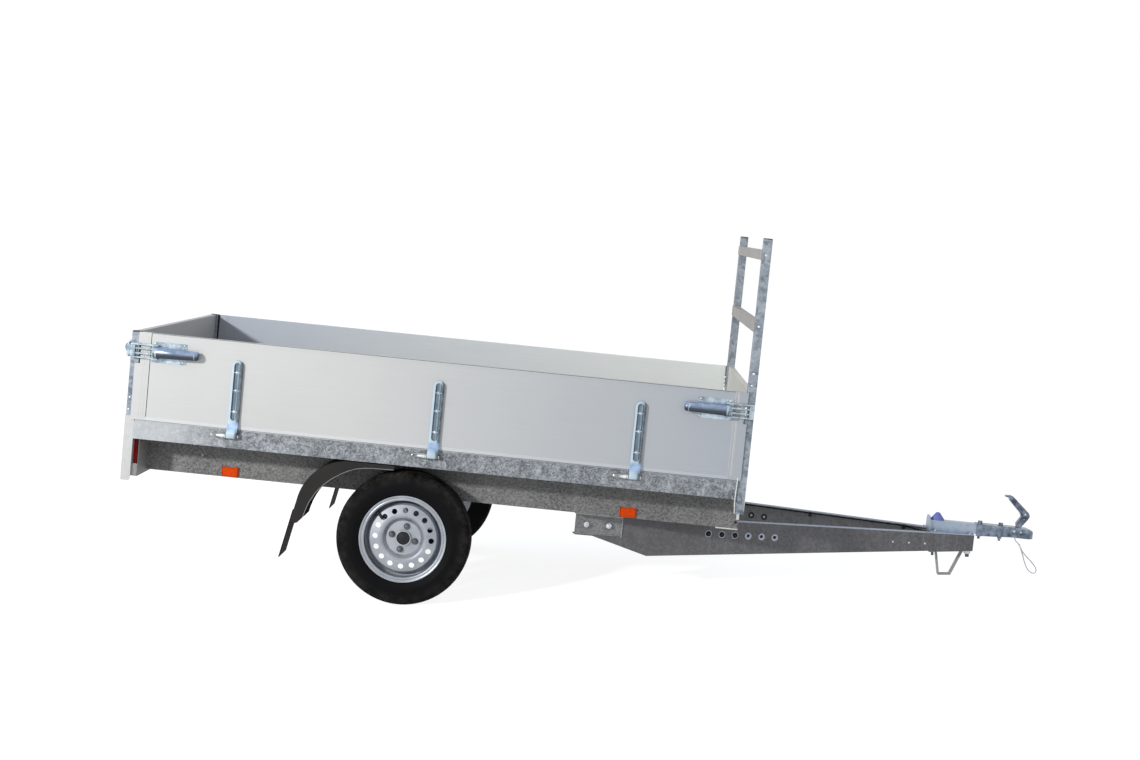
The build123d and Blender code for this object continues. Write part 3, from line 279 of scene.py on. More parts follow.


def paintStrapLightAndShade(plated, skin, share):
    look = strapPaint
    # painted light and shade across each strap, and a painted highlight on its foot
    depth = plated.split(plated.place(), 1)
    rim = plated.climb(depth.maths("ABSOLUTE", depth), *look["face"])
    across = plated.split(plated.place(), 0) - (axleAlong + look["first"])
    across = across.maths("WRAP", across, look["apart"], 0)
    stripes = plated.ramp(plated.climb(across, *look["web"]), look["stripes"])
    rims = plated.ramp(plated.climb(across, *look["edge"]), look["rims"])
    web = plated.blend(stripes * (0.6 + share * 0.4), *look["channel"])
    skin = plated.blend(rim, web, plated.blend(share * 0.2, rims, skin))
    foot = plated.blend(plated.level(*look["footStart"]), skin, plated.blend(share, *look["foot"]))
    return plated.blend(plated.level(*look["footEnd"]), foot, skin)


def paintLeverShade(plated, skin, share):
    # painted shade: the lever darker where its faces look down
    brightShare = plated.climb(plated.upward(), *leverPaint["facing"])
    return plated.blend(brightShare, leverPaint["underside"], skin)


platedLook = {
    # name: dull and bright shade, metallic, share of mottling, base roughness, paint
    "plated": ((0.16, 0.22, 0.27), (0.56, 0.66, 0.72), 0.8, 0.7, 0.26),
    "strap": ((0.52, 0.62, 0.70), (0.84, 0.90, 0.94), 0.75, 0.6, 0.24, paintStrapLightAndShade),
    "lever": ((0.19, 0.25, 0.37), (0.40, 0.50, 0.69), 0.8, 0.7, 0.29, paintLeverShade),
    "tube": ((0.27, 0.33, 0.41), (0.42, 0.49, 0.58), 0.65, 0.5, 0.30),
    "head": ((0.045, 0.06, 0.085), (0.27, 0.325, 0.40), 0.8, 0.8, 0.20),
    "handle": ((0.02, 0.027, 0.045), (0.24, 0.28, 0.35), 0.8, 0.8, 0.20),
    "pinSteel": ((0.55, 0.56, 0.55), (0.90, 0.91, 0.90), 0.7, 0.6, 0.22),
    "bolt": ((0.34, 0.36, 0.38), (0.72, 0.74, 0.76), 0.85, 0.7, 0.26),
    # near-black steel for bolts and threads, also painted shade behind the wheels' vents
    "darkBolt": ((0.030, 0.032, 0.036), (0.15, 0.16, 0.175), 0.7, 0.7, 0.30),
}


def makePlated(name, dull, bright, metallic, mottling, roughness, paint=None):
    # Blue zinc plating: bright, slightly mottled, darker in the casting's pits.
    plated = Finish(name, Metallic=metallic)
    mottle, pits = plated.noise(38, 4, 0.6), plated.noise(260, 3, 0.55)
    share = plated.ramp(mottle * mottling + pits * (1 - mottling), ((0.34, 0), (0.64, 1)))
    skin = plated.blend(share, dull, bright)
    if paint:
        skin = paint(plated, skin, share)
    return plated.finish(skin, roughness + mottle * 0.16, pits + mottle * 0.6, 0.18, 0.0005)


# ---- boards, wheels, rubber, plastic and the rest
boardLook = {
    # name: skin toward the rear, skin toward the front, where it turns, scale of the brushed lines
    # painted light and shade along the deck: the near board lighter toward the rear, the far board darker
    # and bluer toward the rear and lighter toward the front, the tailgate darker than the front board
    "board": ((0.55, 0.55, 0.54), (0.41, 0.435, 0.47), (-200, 1400), (0.6, 60, 60)),
    "farBoard": ((0.40, 0.43, 0.49), (0.84, 0.87, 0.85), (-1100, 900), (0.6, 60, 60)),
    "tailBoard": ((0.56, 0.565, 0.57), (0.66, 0.65, 0.60), (0, 1300), (60, 0.6, 60)),
    "endBoard": ((0.66, 0.64, 0.60), (0.66, 0.64, 0.58), (0, 1300), (60, 60, 0.6)),
    # painted light: a lighter copy of the side boards' skin, for their lower lip
    "lipBoard": ((0.60, 0.61, 0.61), (0.465, 0.49, 0.53), (-200, 1400), (0.6, 60, 60)),
}


def makeBoard(name, rear, front, turn, lineScale):
    # Matte anodised extrusion with faint drawing lines.
    board = Finish(name, Metallic=0.4)
    lines, cloud = board.noise(6, 4, 0.7, lineScale), board.noise(1.4, 3)
    mottle = board.ramp(lines * 0.6 + cloud * 0.4, ((0.3, 0.94), (0.7, 1.06)))
    # painted light and shade: the skin turns from its rear colour to its front colour along the deck
    skin = board.vectors("MULTIPLY", board.blend(board.along(*turn), rear, front), mottle)
    return board.finish(skin, 0.48 + lines * 0.10, lines, 0.05, 0.0004)


def makeWheelSilver(shade, silver):
    # Silver paint with a fine flake and a little road dust in the dish.
    paint = Finish("wheelSilver", Metallic=0.5, Coat_Weight=0.3, Coat_Roughness=0.22)
    spark = paint.red(paint.cells(1400, out=1))
    brightShare = paint.ramp(paint.noise(11, 4, 0.6) * 0.8 + spark * 0.2, ((0.35, 0), (0.65, 1)))
    return paint.finish(paint.blend(brightShare, shade, silver), 0.34 + spark * 0.14, paint.noise(420, 2),
                        0.06, 0.0003)


def makeRubber(name, dark, light, roughness):
    rubber = Finish(name, Specular_IOR_Level=0.04)
    dust = rubber.noise(14, 4, 0.6)
    skin = rubber.blend(rubber.ramp(dust, ((0.35, 0), (0.7, 1))), dark, light)
    return rubber.finish(skin, roughness + dust * 0.12, rubber.noise(700, 2), 0.25, 0.0004)


tyreShades = {
    "wall": ((0.0015, 0.0015, 0.0020), (0.006, 0.006, 0.0066)),
    "tread": ((0.006, 0.0055, 0.005), (0.044, 0.040, 0.037)),
    "treadStart": ((0.226, 0), (0.270, 1)),     # metres from the wheel's middle
    "rings": 1900,                              # radians per metre
}


def makeTyreRubber():
    # Black rubber: dusty tread, smoother walls with fine rings.
    tyre, look = Finish("tyreRubber", Specular_IOR_Level=0.07), tyreShades
    centred = tyre.vectors("SUBTRACT", tyre.node("ShaderNodeTexCoord", out=3), (axle[0], 0, axle[2]))
    reach = tyre.vectors("LENGTH", tyre.vectors("MULTIPLY", centred, (1, 0, 1)), out=1)
    rings = reach.maths("SINE", reach * look["rings"])
    onTread = tyre.ramp(reach, look["treadStart"])
    dust, grain = tyre.noise(16, 5, 0.65), tyre.noise(520, 3)
    wall = tyre.blend(dust, *look["wall"])
    tread = tyre.blend(tyre.ramp(dust, ((0.38, 0), (0.66, 1))), *look["tread"])
    return tyre.finish(tyre.blend(onTread, wall, tread), 0.52 + onTread * 0.25 + dust * 0.1,
                       grain * 0.5 + rings * 0.06 * (1 - onTread), 0.3, 0.0005)


def makePlastic(name, dark, light, roughness):
    plastic = Finish(name, Specular_IOR_Level=0.15)
    cloud = plastic.noise(7, 4, 0.6)
    return plastic.finish(plastic.blend(cloud, dark, light), roughness + cloud * 0.12,
                          plastic.noise(300, 2), 0.16, 0.0004)


def makeLens(name, deep, bright, cellScale):
    # Moulded lens with small prisms behind a glossy skin.
    lens = Finish(name, Specular_IOR_Level=0.12)
    prism = lens.cells(cellScale, feature="DISTANCE_TO_EDGE")
    skin = lens.blend(lens.ramp(prism, ((0.02, 0), (0.35, 1))), deep, bright)
    return lens.finish(skin, 0.16 + prism * 0.3, prism, 0.25, 0.0008)


def makePlywood(film, scuffed):
    # Film-faced plywood: resin film pressed with a wire-mesh pattern, scuffed by loads.
    wood = Finish("floorPlywood", Specular_IOR_Level=0.4)
    mesh = wood.bands("X", 55) * wood.bands("Y", 55)
    scuff = wood.noise(5, 6, 0.7, (0.4, 1, 1))
    skin = wood.blend(wood.ramp(scuff, ((0.42, 0), (0.75, 1))), film, scuffed)
    return wood.finish(skin, 0.42 + scuff * 0.3, mesh, 0.35, 0.0008)


def makeWireRope(gap, strand):
    # Laid wire: fine slanting strands.
    rope = Finish("cableWire", Metallic=0.8)
    strands = rope.bands("DIAGONAL", 150, 0.5)
    return rope.finish(rope.blend(strands, gap, strand), 0.35 + strands * 0.15, strands, 0.6, 0.0004)


# name: dark and light shade, roughness
rubberLook = {
    "flap": ((0.014, 0.009, 0.006), (0.040, 0.027, 0.018), 0.62),
    "lead": ((0.012, 0.012, 0.012), (0.03, 0.03, 0.03), 0.45),
}
plasticLook = {
    "guard": ((0.016, 0.0145, 0.014), (0.036, 0.033, 0.031), 0.44),
    # painted highlight along the mudguard's rounded lower edge
    "lip": ((0.30, 0.29, 0.27), (0.50, 0.48, 0.45), 0.4),
    "cap": ((0.018, 0.018, 0.020), (0.035, 0.035, 0.038), 0.34),
    "plug": ((0.09, 0.12, 0.46), (0.30, 0.36, 0.76), 0.24),
}
lensLook = {
    # name: deep and bright shade, prisms per metre
    "redLens": ((0.30, 0.004, 0.006), (0.75, 0.014, 0.016), 130),
    "amberLens": ((0.78, 0.055, 0), (1, 0.115, 0), 160),
    "clearLens": ((0.50, 0.50, 0.50), (0.82, 0.82, 0.80), 130),
}
finishes = {
    "wheelSilver": makeWheelSilver((0.29, 0.31, 0.35), (0.43, 0.45, 0.48)),
    "tyre": makeTyreRubber(),
    "plywood": makePlywood((0.055, 0.030, 0.020), (0.15, 0.10, 0.075)),
    "wire": makeWireRope((0.20, 0.21, 0.22), (0.55, 0.56, 0.58)),
}
for makeFinish, looks in ((makeZinc, zincLook), (makePlated, platedLook), (makeBoard, boardLook),
                          (makeRubber, rubberLook), (makePlastic, plasticLook), (makeLens, lensLook)):
    finishes |= {name: makeFinish(name, *look) for name, look in looks.items()}
print("finishes:", len(finishes))

nodeFinish = {
    # finish: CAD nodes, where * stands for left and for right
    "railZinc": "side_rail_* rear_rail front_rail",
    "beamZinc": "frame_beam_* cross_members",
    # painted shade: the axle beam, swing arms and hubs in near-black steel, so that they read dark through
    # the wheels' vents
    "darkBolt": "axle_beam swing_arm_* hub_*",
    "postZinc": "rack_post_*",
    "rearPostZinc": "rear_post_*",
    "drawbarZinc": "drawbar_beam_right nose_plate",
    # painted light: the far beam takes the lighter copy of the drawbar's zinc
    "farBeamZinc": "drawbar_beam_left",
    "bracketZinc": "drawbar_bracket_*",
    # painted highlight: the front spacer in pale zinc
    "edgeZinc": "front_spacer",
    "sheetZinc": "lamp_board rack_bar_upper rack_bar_lower support_foot",
    "board": "side_board_right",
    "farBoard": "side_board_left",
    "tailBoard": "tailgate_board front_board",
    "strap": "hinge_straps_*",
    "plated": "tailgate_straps latches_* tailgate_latches",
    "tube": "coupling_tube",
    "head": "coupling_head",
    "handle": "coupling_handle",
    "bolt": "cable_ferrule",
    "wheelSilver": "rim_*",
    "tyre": "tyre_*",
    "flap": "mud_flap_*",
    "lead": "lighting_cable",
    "guard": "mudguard_*",
    "cap": "post_caps hub_cap_*",
    "plug": "plug",
    "redLens": "tail_lamp_*",
    "amberLens": "side_reflectors",
    "plywood": "floor_panel",
    "wire": "safety_cable",
}

slotFinishes = {
    "zinc_plating": "bolt darkBolt pinSteel lever", "black_plastic": "cap lead lip", "tyre": "tyre",
    "galvanised": "edgeZinc flangeZinc", "aluminium": "board endBoard lipBoard",
    "lamp_red": "redLens clearLens", "reflector_amber": "amberLens", "wheel_silver": "wheelSilver",
}
slots = {finish: slot for slot, names in slotFinishes.items() for finish in names.split()}


def dressNodes():
    for finish, names in nodeFinish.items():
        for name in [name.replace("*", side) for name in names.split() for side in sides]:
            materials = frame["nodes"][name].data.materials
            materials.clear()
            materials.append(finishes[finish])
    print("CAD nodes dressed")


# ---- shapes, in the level frame's millimetres
def turnTo(direction, around=0):
    # rotation that carries local z to direction
    return Vector(direction).to_track_quat("Z", "Y").to_matrix() @ Matrix.Rotation(around, 3, "Z")


def addLathe(shape, profile, origin, axis, steps=32, around=0):
    # profile: (distance along the axis, radius) from one end to the other
    turn, rings = turnTo(axis, around), []
    for along, radius in profile:
        ring = []
        for step in range(steps if radius > 0 else 1):
            angle = 2 * math.pi * step / steps
            local = Vector((radius * math.cos(angle), radius * math.sin(angle), along))
            ring.append(shape.verts.new(Vector(origin) + turn @ local))
        rings.append(ring)
    for low, high in zip(rings, rings[1:]):
        for step in range(steps):
            corners = [low[step % len(low)], low[(step + 1) % len(low)],
                       high[(step + 1) % len(high)], high[step % len(high)]]
            corners = list(dict.fromkeys(corners))
            if len(corners) > 2:
                shape.faces.new(corners)


def addRods(shape, route, radius, steps):
    # one closed round bar between each two points of the route
    for start, stop in zip(route, route[1:]):
        run = Vector(stop) - Vector(start)
        addLathe(shape, ((0, 0), (0, radius), (run.length, radius), (run.length, 0)), start, run, steps)


def addBlock(shape, centre, size, turn=None):
    made = bmesh.ops.create_cube(shape, size=1)["verts"]
    for vert in made:
        local = Vector([vert.co[k] * size[k] for k in range(3)])
        vert.co = Vector(centre) + ((turn @ local) if turn else local)


def addSlab(shape, *spans):
    # block between two places along, across and up
    addBlock(shape, [(low + high) / 2 for low, high in spans], [abs(high - low) for low, high in spans])


# shares of a bolt's radius, and of its head's height up to where the corners are turned off
boltForm = {"disc": 1.5, "head": 1.06, "crown": 0.86, "turned": 0.82}


def addBolt(shape, at, out, radius, height, washer=1.5, around=0):
    # washer, hexagon head with a turned crown
    disc, head, crown = [radius * boltForm[part] for part in ("disc", "head", "crown")]
    turned, top = washer + height * boltForm["turned"], washer + height
    addLathe(shape, ((0, 0), (0, disc), (washer, disc), (washer, 0)), at, out, 24)
    addLathe(shape, ((washer, head), (turned, head), (top, crown), (top, 0)), at, out, 6, around)


def addDome(shape, at, out, radius, height, steps=20):
    turns = [k * math.pi / 12 for k in range(1, 6)]
    profile = [(height * math.sin(turn), radius * math.cos(turn)) for turn in turns]
    addLathe(shape, [(0, radius), *profile, (height, 0)], at, out, steps)


def addPiece(shape, name, finish, body="chassis", bevel=0, smooth=35, covers=()):
    bmesh.ops.recalc_face_normals(shape, faces=shape.faces)
    mesh = bpy.data.meshes.new(name)
    shape.to_mesh(mesh)
    shape.free()
    mesh.transform(levelToWorld)
    for face in mesh.polygons:
        face.use_smooth = True
    mesh.set_sharp_from_angle(angle=math.radians(smooth))
    piece = bpy.data.objects.new(name, mesh)
    bpy.context.collection.objects.link(piece)
    mesh.materials.append(finishes[finish])
    if bevel:
        edge = piece.modifiers.new("edge", "BEVEL")
        edge.width, edge.segments, edge.limit_method = bevel / 1000, 2, "ANGLE"
    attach(piece, body)
    if covers:
        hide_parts(*covers)


# ---- wheels
tyreLook = {
    "outer": 281, "track": 690, "steps": 540, "crown": 1.4, "crownHalf": 60,
    # half the section: (distance from the wheel's middle, radius)
    "wall": ((-66, 166), (-66, 182.5), (-74, 184.8), (-77.6, 192), (-80.6, 203), (-81.6, 207), (-82.4, 208),
             (-83, 220), (-82.6, 232), (-80.8, 245), (-78, 256), (-77.4, 257.2), (-75.4, 261.5)),
    "shoulder": ((-72.5, 267.5), (-69.5, 271), (-66, 274), (-60, 276.6), (-52, 278.8), (-44, 280)),
    "grooves": (-34, -12, 12, 34), "grooveHalf": 3.4, "grooveDepth": 6.5, "chamfer": 0.8,
    "ribs": (9, 13),                # a rib's points past its groove
    # cross slots: steps from one to the next, millimetres across for one step's slant, depths
    "pitch": 9, "slant": 7, "lugDepth": 5, "sipeDepth": 1.8,
}


def tyreSection():
    # (distance from the wheel's middle, radius, part of the tread it belongs to)
    look = tyreLook
    flank = [(out, reach, "") for out, reach in look["wall"]]
    flank += [(out, reach, "shoulder") for out, reach in look["shoulder"]]
    section, half = list(flank), look["grooveHalf"]
    for groove in look["grooves"]:
        crown = look["outer"] - (abs(groove) / look["crownHalf"]) ** 2 * look["crown"]
        floor, inner = crown - look["grooveDepth"], half - look["chamfer"]
        section += [(groove - half, crown, "rib"), (groove - inner, floor, ""), (groove + inner, floor, ""),
                    (groove + half, crown, "rib")]
        if groove < look["grooves"][-1]:
            section += [(groove + past, crown, "rib") for past in look["ribs"]]
    return section + [(-out, reach, part) for out, reach, part in flank[::-1]]


def makeTyre(name, side):
    look, shape, section = tyreLook, bmesh.new(), tyreSection()
    rings = []
    for step in range(look["steps"]):
        angle, ring = 2 * math.pi * step / look["steps"], []
        for out, reach, part in section:
            slant = int(abs(out) / look["slant"])
            if part == "shoulder" and (step + slant) % look["pitch"] < 1:
                reach -= look["lugDepth"]
            if part == "rib" and (step * 2 + slant * 3) % (look["pitch"] * 2) < 2:
                reach -= look["sipeDepth"]
            ring.append(shape.verts.new((reach * math.sin(angle), side * look["track"] + out,
                                         reach * math.cos(angle))))
        rings.append(ring)
    for here, there in zip(rings, rings[1:] + rings[:1]):
        for k in range(len(section) - 1):
            shape.faces.new((here[k], here[k + 1], there[k + 1], there[k]))
        shape.faces.new((here[-1], here[0], there[0], there[-1]))
    addPiece(shape, "tyreCover." + name, "tyre", "wheel_" + name, smooth=28, covers=("tyre_" + name,))


wheelTrim = {
    # valve: its turn in degrees, reach and place across, then its lean outward along the same two
    "valve": (140, 152, 736), "valveLean": (-0.92, 0.38),
    "valveStem": ((0, 0), (0, 9.5), (8, 9), (12, 5.6), (24, 5), (25, 6.4), (36, 6.4), (38, 5), (38, 0)),
    "ventShade": ((-9, 0), (-9, 11.3), (-7, 11.3), (-7, 0)), "ventAt": (-83.4, 739, 83.4),
    "capFace": 732.2,
    "capDisc": ((-0.8, 28.6), (0.6, 28.6), (1.2, 27.4), (1.2, 20)),
    "capRing": ((-1, 31), (0.5, 31), (0.8, 28.8), (-0.4, 28.2)),
    # four wheel bolts: reach, first turn in degrees, crowns' and collars' places across
    "bolts": (50, 78), "crownAt": 734, "crown": (7.4, 2.4),
    "collarAt": 721.4, "collar": ((0, 10.6), (1.6, 14), (2.8, 14), (2.8, 10.2)),
    # rolled bead of the rim's flange, from the wheel's middle
    "roll": ((68.8, 163.2), (70.4, 164.6), (71, 167), (70.4, 169.4), (69.6, 171), (71.4, 173),
             (73, 175.4), (74.6, 178), (74.8, 181.2), (73, 182.2)),
}


def makeWheelTrim(name, side):
    look, out, body = wheelTrim, (0, side, 0), "wheel_" + name
    dark, bolts, ring, roll = [bmesh.new() for _ in range(4)]

    def onWheel(turn, reach, across):
        turn = math.radians(turn)
        return (reach * math.cos(turn), side * across, reach * math.sin(turn))

    inward = onWheel(look["valve"][0], *look["valveLean"])
    addLathe(dark, look["valveStem"], onWheel(*look["valve"]), inward, 20)
    hub = (0, side * look["capFace"], 0)
    addLathe(dark, look["capDisc"], hub, out, 48)
    # painted shade: a dark disc fills the vent beside the valve
    x, y, z = look["ventAt"]
    addLathe(dark, look["ventShade"], (x, side * y, z), out, 24)
    addPiece(dark, "valve." + name, "cap", body)
    reach, first = look["bolts"]
    for turn in range(0, 360, 90):
        addDome(bolts, onWheel(first + turn, reach, look["crownAt"]), out, *look["crown"])
        addLathe(bolts, look["collar"], onWheel(first + turn, reach, look["collarAt"]), out, 24)
    addPiece(bolts, "wheelBoltCrowns." + name, "darkBolt", body)
    addLathe(ring, look["capRing"], hub, out, 48)
    addPiece(ring, "capRing." + name, "bolt", body)
    addLathe(roll, look["roll"], (0, side * tyreLook["track"], 0), out, 96)
    addPiece(roll, "rimRoll." + name, "wheelSilver", body)


# ---- drop boards
panelLook = {
    "face": 775, "straps": (-740, 95, 930), "latches": ((-1147, 1), (1352, -1)),
    "tailFace": -1190, "tailStraps": (-450, 450), "tailLatches": 726.5, "latchHeight": 675,
}


def dropBoards():
    # each board's name, body, way out, way along its hinge pins, straps, and latches with the way in
    look, high = panelLook, panelLook["latchHeight"]
    for name, side in sides.items():
        across = side * look["face"]
        yield (name, "side_board_" + name, Vector((0, side, 0)), Vector((-1, 0, 0)),
               [(x, across) for x in look["straps"]],
               [(Vector((x, across, high)), Vector((inward, 0, 0))) for x, inward in look["latches"]])
    yield ("tailgate", "tailgate", Vector((-1, 0, 0)), Vector((0, 1, 0)),
           [(look["tailFace"], y) for y in look["tailStraps"]],
           [(Vector((look["tailFace"], side * look["tailLatches"], high)), Vector((0, -side, 0)))
            for side in sides.values()])


strapLook = {
    "heads": (461, 549, 624), "headOut": 6.8, "head": (4.6, 2),
    "bridgeOut": 5.4, "bridge": (25, 2.6, 3.4),       # along the pins, out, up
}


def makeStrapHeads():
    # carriage-bolt crowns in each strap's channel, each on its narrow bridge
    look = strapLook
    wide, deep, tall = look["bridge"]
    for name, body, out, run, straps, _ in dropBoards():
        heads = bmesh.new()
        bridge = [abs(span) for span in run * wide + out * deep + Vector((0, 0, tall))]
        for x, y in straps:
            for z in look["heads"]:
                addDome(heads, Vector((x, y, z)) + out * look["headOut"], out, *look["head"])
                addBlock(heads, Vector((x, y, z)) + out * look["bridgeOut"], bridge)
        addPiece(heads, "strapHeads." + name, "bolt", body)


pinLook = {
    "height": 360, "out": 16,
    "cone": ((24.5, 0), (24.5, 10.4), (27.5, 10.4), (27.5, 8.6), (29.5, 8.6), (31, 10.6), (50, 9.4),
             (70, 7.4), (84, 5.6), (88, 3), (88.5, 0)),
    "collar": ((24.4, 0), (24.4, 7), (27, 7), (28.5, 4), (28.5, 0)),
}


def makePins():
    # cast cones over the hinge pins' welded ends, and their collars against the straps
    look, pins = pinLook, bmesh.new()
    for _, _, out, run, straps, _ in dropBoards():
        for x, y in straps:
            foot = Vector((x, y, look["height"])) + out * look["out"]
            addLathe(pins, look["cone"], foot, run, 28)
            addLathe(pins, look["collar"], foot, -run, 24)
    addPiece(pins, "hingePinCones", "pinSteel")


latchLook = {
    # each from the board's end: along it, up, out; then radius and height
    "rivets": ((59, 35, 3, 5.2, 2.8), (180, 35, 3, 5.2, 2.8)), "pivot": (66, 31, 20, 6, 3),
    "leverRoot": (60, 27), "leverTip": (238, 23),
    # turned lever: along from its root, radius
    "lever": ((-2, 0), (-2, 21.5), (0.2, 24.1), (6, 24.1), (8, 22.6), (12, 22.6), (14, 23.9),
              (90, 21.9), (164, 19.4), (167, 19.4), (169, 18), (171, 19.3), (178.6, 19),
              (183, 16.6), (186, 11), (184, 9), (184, 0)),
}


def makeLatchTrim():
    # corner rivets, the pivot pin through the cheeks, and the lever's turned barrel
    look, up = latchLook, Vector((0, 0, 1))
    for name, body, out, _, _, latches in dropBoards():
        rivets, levers = bmesh.new(), bmesh.new()
        for end, inward in latches:
            for way in (-up, up):
                for along, high, proud, *size in look["rivets"]:
                    addDome(rivets, end + inward * along + way * high + out * proud, out, *size)
                along, high, proud, *size = look["pivot"]
                addDome(rivets, end + inward * along + way * high + out * proud, way, *size)
            root, tip = [end + inward * along + out * proud
                         for along, proud in (look["leverRoot"], look["leverTip"])]
            addLathe(levers, look["lever"], root, tip - root, 40)
        addPiece(rivets, "latchRivets." + name, "bolt", body)
        addPiece(levers, "latchLevers." + name, "lever", body)


boardTrim = {
    "face": 775, "low": 388, "lip": 403, "high": 751, "topSeam": (749.8, 751),
    # along the board: spans, and each rib's middle and width
    "ends": (-1146, 1351), "joint": (-1107, -1105), "band": (1330, 1351),
    "rearRibs": ((-1120, 1.4), (-1131, 2.4), (-1136, 1.4)),
    "frontRibs": ((1312, 1.4), (1323, 2.4), (1328, 1.4)),
    # how far each slab reaches in and out of the board's face
    "out": {"joint": (-0.4, 0.8), "topSeam": (-0.3, 0.5), "rearRibs": (1, 2.2),
            "frontRibs": (-0.1, 1.9), "band": (-0.2, 0.8), "lip": (-0.3, 1.1)},
}


def makeBoardTrim():
    # each side board's rear joint, the drawn ribs at its ends, the paler front profile and the lower lip,
    # whose lighter skin is painted light
    look = boardTrim
    tall = (look["lip"], look["high"])
    for name, side in sides.items():
        seam, ribs, lip, body = bmesh.new(), bmesh.new(), bmesh.new(), "side_board_" + name
        proud = {part: [side * (look["face"] + out) for out in span] for part, span in look["out"].items()}
        addSlab(seam, look["joint"], proud["joint"], tall)
        addSlab(seam, look["ends"], proud["topSeam"], look["topSeam"])
        for part in ("rearRibs", "frontRibs"):
            for x, wide in look[part]:
                addSlab(ribs, (x - wide / 2, x + wide / 2), proud[part], tall)
        addSlab(ribs, look["band"], proud["band"], tall)
        addSlab(lip, look["ends"], proud["lip"], (look["low"], look["lip"]))
        addPiece(seam, "boardSeams." + name, "lead", body)
        addPiece(ribs, "endRibs." + name, "endBoard", body, bevel=0.4)
        addPiece(lip, "boardLip." + name, "lipBoard", body, bevel=0.5)


# piece: finish, bevel, size of its blocks, their middles on the left
sealLook = {
    "railSeal.": ("board", 1, (2506, 18, 3.4), ((103, 765, 384.7),)),
    # painted shade: a dark strip on each rear post's front face
    "postLips.": ("lead", 0, (2.4, 29, 363), ((-1151.8, 752.5, 570),)),
}
keeperLook = {"x": (-1160.5, 1362), "y": 770.8, "z": 675, "size": (12, 13.6, 40)}


def makeBlocks(look):
    for name, side in sides.items():
        for piece, (finish, bevel, size, middles) in look.items():
            shape = bmesh.new()
            for x, y, z in middles:
                addBlock(shape, (x, side * y, z), size)
            addPiece(shape, piece + name, finish, bevel=bevel)


def makeKeepers():
    # the rounded catch behind each keeper plate
    look, catches = keeperLook, bmesh.new()
    for side in sides.values():
        for x in look["x"]:
            addBlock(catches, (x, side * look["y"], look["z"]), look["size"])
    addPiece(catches, "keeperCatches", "pinSteel", bevel=2.5)


# ---- drawbar and chassis
drawbar = {
    "rearX": 708, "noseX": 2490, "rearHalf": 535, "noseHalf": 60, "rearTop": 149, "rise": 9,
}
drawbarRun = drawbar["noseX"] - drawbar["rearX"]
drawbarSlope = (drawbar["rearHalf"] - drawbar["noseHalf"]) / drawbarRun


def onDrawbar(x, z, side, proud=0):
    # point on a drawbar beam's outer face, and the way that face looks
    out = Vector((drawbarSlope, side, 0)).normalized()
    half = drawbar["noseHalf"] + (drawbar["noseX"] - x) * drawbarSlope
    return Vector((x, side * half, z)) + out * proud, out


chassisBolts = {
    # on the drawbar's webs: along and up; then radius and height
    "webRivets": ((2115, 108), (2190, 108), (2265, 108)), "webRivet": (4.5, 1.6),
    "bracket": ((750, 105), (845, 105)), "bracketOut": 16.4, "bracketHead": (6, 2.6),
    "dish": ((0, 12), (1.2, 12), (1.6, 11.4), (1.6, 7.6), (0.9, 7.4), (0.9, 0)), "headOut": 0.9,
    # on the posts: along and up
    "posts": ((1376, 1319), (1376, 1026), (1376, 831.5), (1374, 781.6), (-1178, 477), (-1180, 427)),
    "postOut": 769.5, "postRivet": (5.6, 2.4),
    # domes that face sideways and bolts that stand up: along, across, up, radius, height, steps
    "domes": ((-898, 575, 241, 3.4, 1.6, 12), (2672, 31, 191, 5, 2.2), (2703, 31.5, 189, 5, 2.2)),
    "bolts": ((31, 550, 161, 9.5, 8), (191, 550, 161, 9.5, 8), (2316, 45, 161, 6.5, 5),
              (2472, 42, 161, 6.5, 5)),
}


def makeChassisBolts():
    look, bolts = chassisBolts, bmesh.new()
    for side in sides.values():
        for x, z in look["webRivets"]:
            addDome(bolts, *onDrawbar(x, z, side), *look["webRivet"])
        for x, z in look["bracket"]:
            at, out = onDrawbar(x, z, side, look["bracketOut"])
            addLathe(bolts, look["dish"], at, out, 24)
            addDome(bolts, at + out * look["headOut"], out, *look["bracketHead"])
        for x, z in look["posts"]:
            addDome(bolts, (x, side * look["postOut"], z), (0, side, 0), *look["postRivet"])
        for x, y, z, *size in look["domes"]:
            addDome(bolts, (x, side * y, z), (0, side, 0), *size)
        for x, y, z, *size in look["bolts"]:
            addBolt(bolts, (x, side * y, z), (0, 0, 1), *size)
    addPiece(bolts, "chassisBolts", "bolt")


footBolts = {
    # along, height of the plate's underside, radius, length of thread
    "bolts": ((2320, 69, 10.5, 26), (2476, 80.5, 15.5, 29)),
    "tilt": (0.12, 0, -1), "washer": 2, "threadStart": 4,
    # shares of the radius: head's height, thread and its tip; length of the tip
    "head": 0.95, "thread": 0.58, "tip": 0.45, "tipLength": 1.5,
}


def makeFootBolts():
    look, bolts, threads = footBolts, bmesh.new(), bmesh.new()
    for x, low, radius, length in look["bolts"]:
        addBolt(bolts, (x, 0, low), look["tilt"], radius, radius * look["head"], look["washer"])
        stud, end = radius * look["thread"], length + look["tipLength"]
        addLathe(threads, ((look["threadStart"], stud), (length, stud), (end, radius * look["tip"]),
                           (end, 0)), (x, 0, low), look["tilt"], 18)
    addPiece(bolts, "footBolts", "bolt")
    addPiece(threads, "footThreads", "darkBolt")


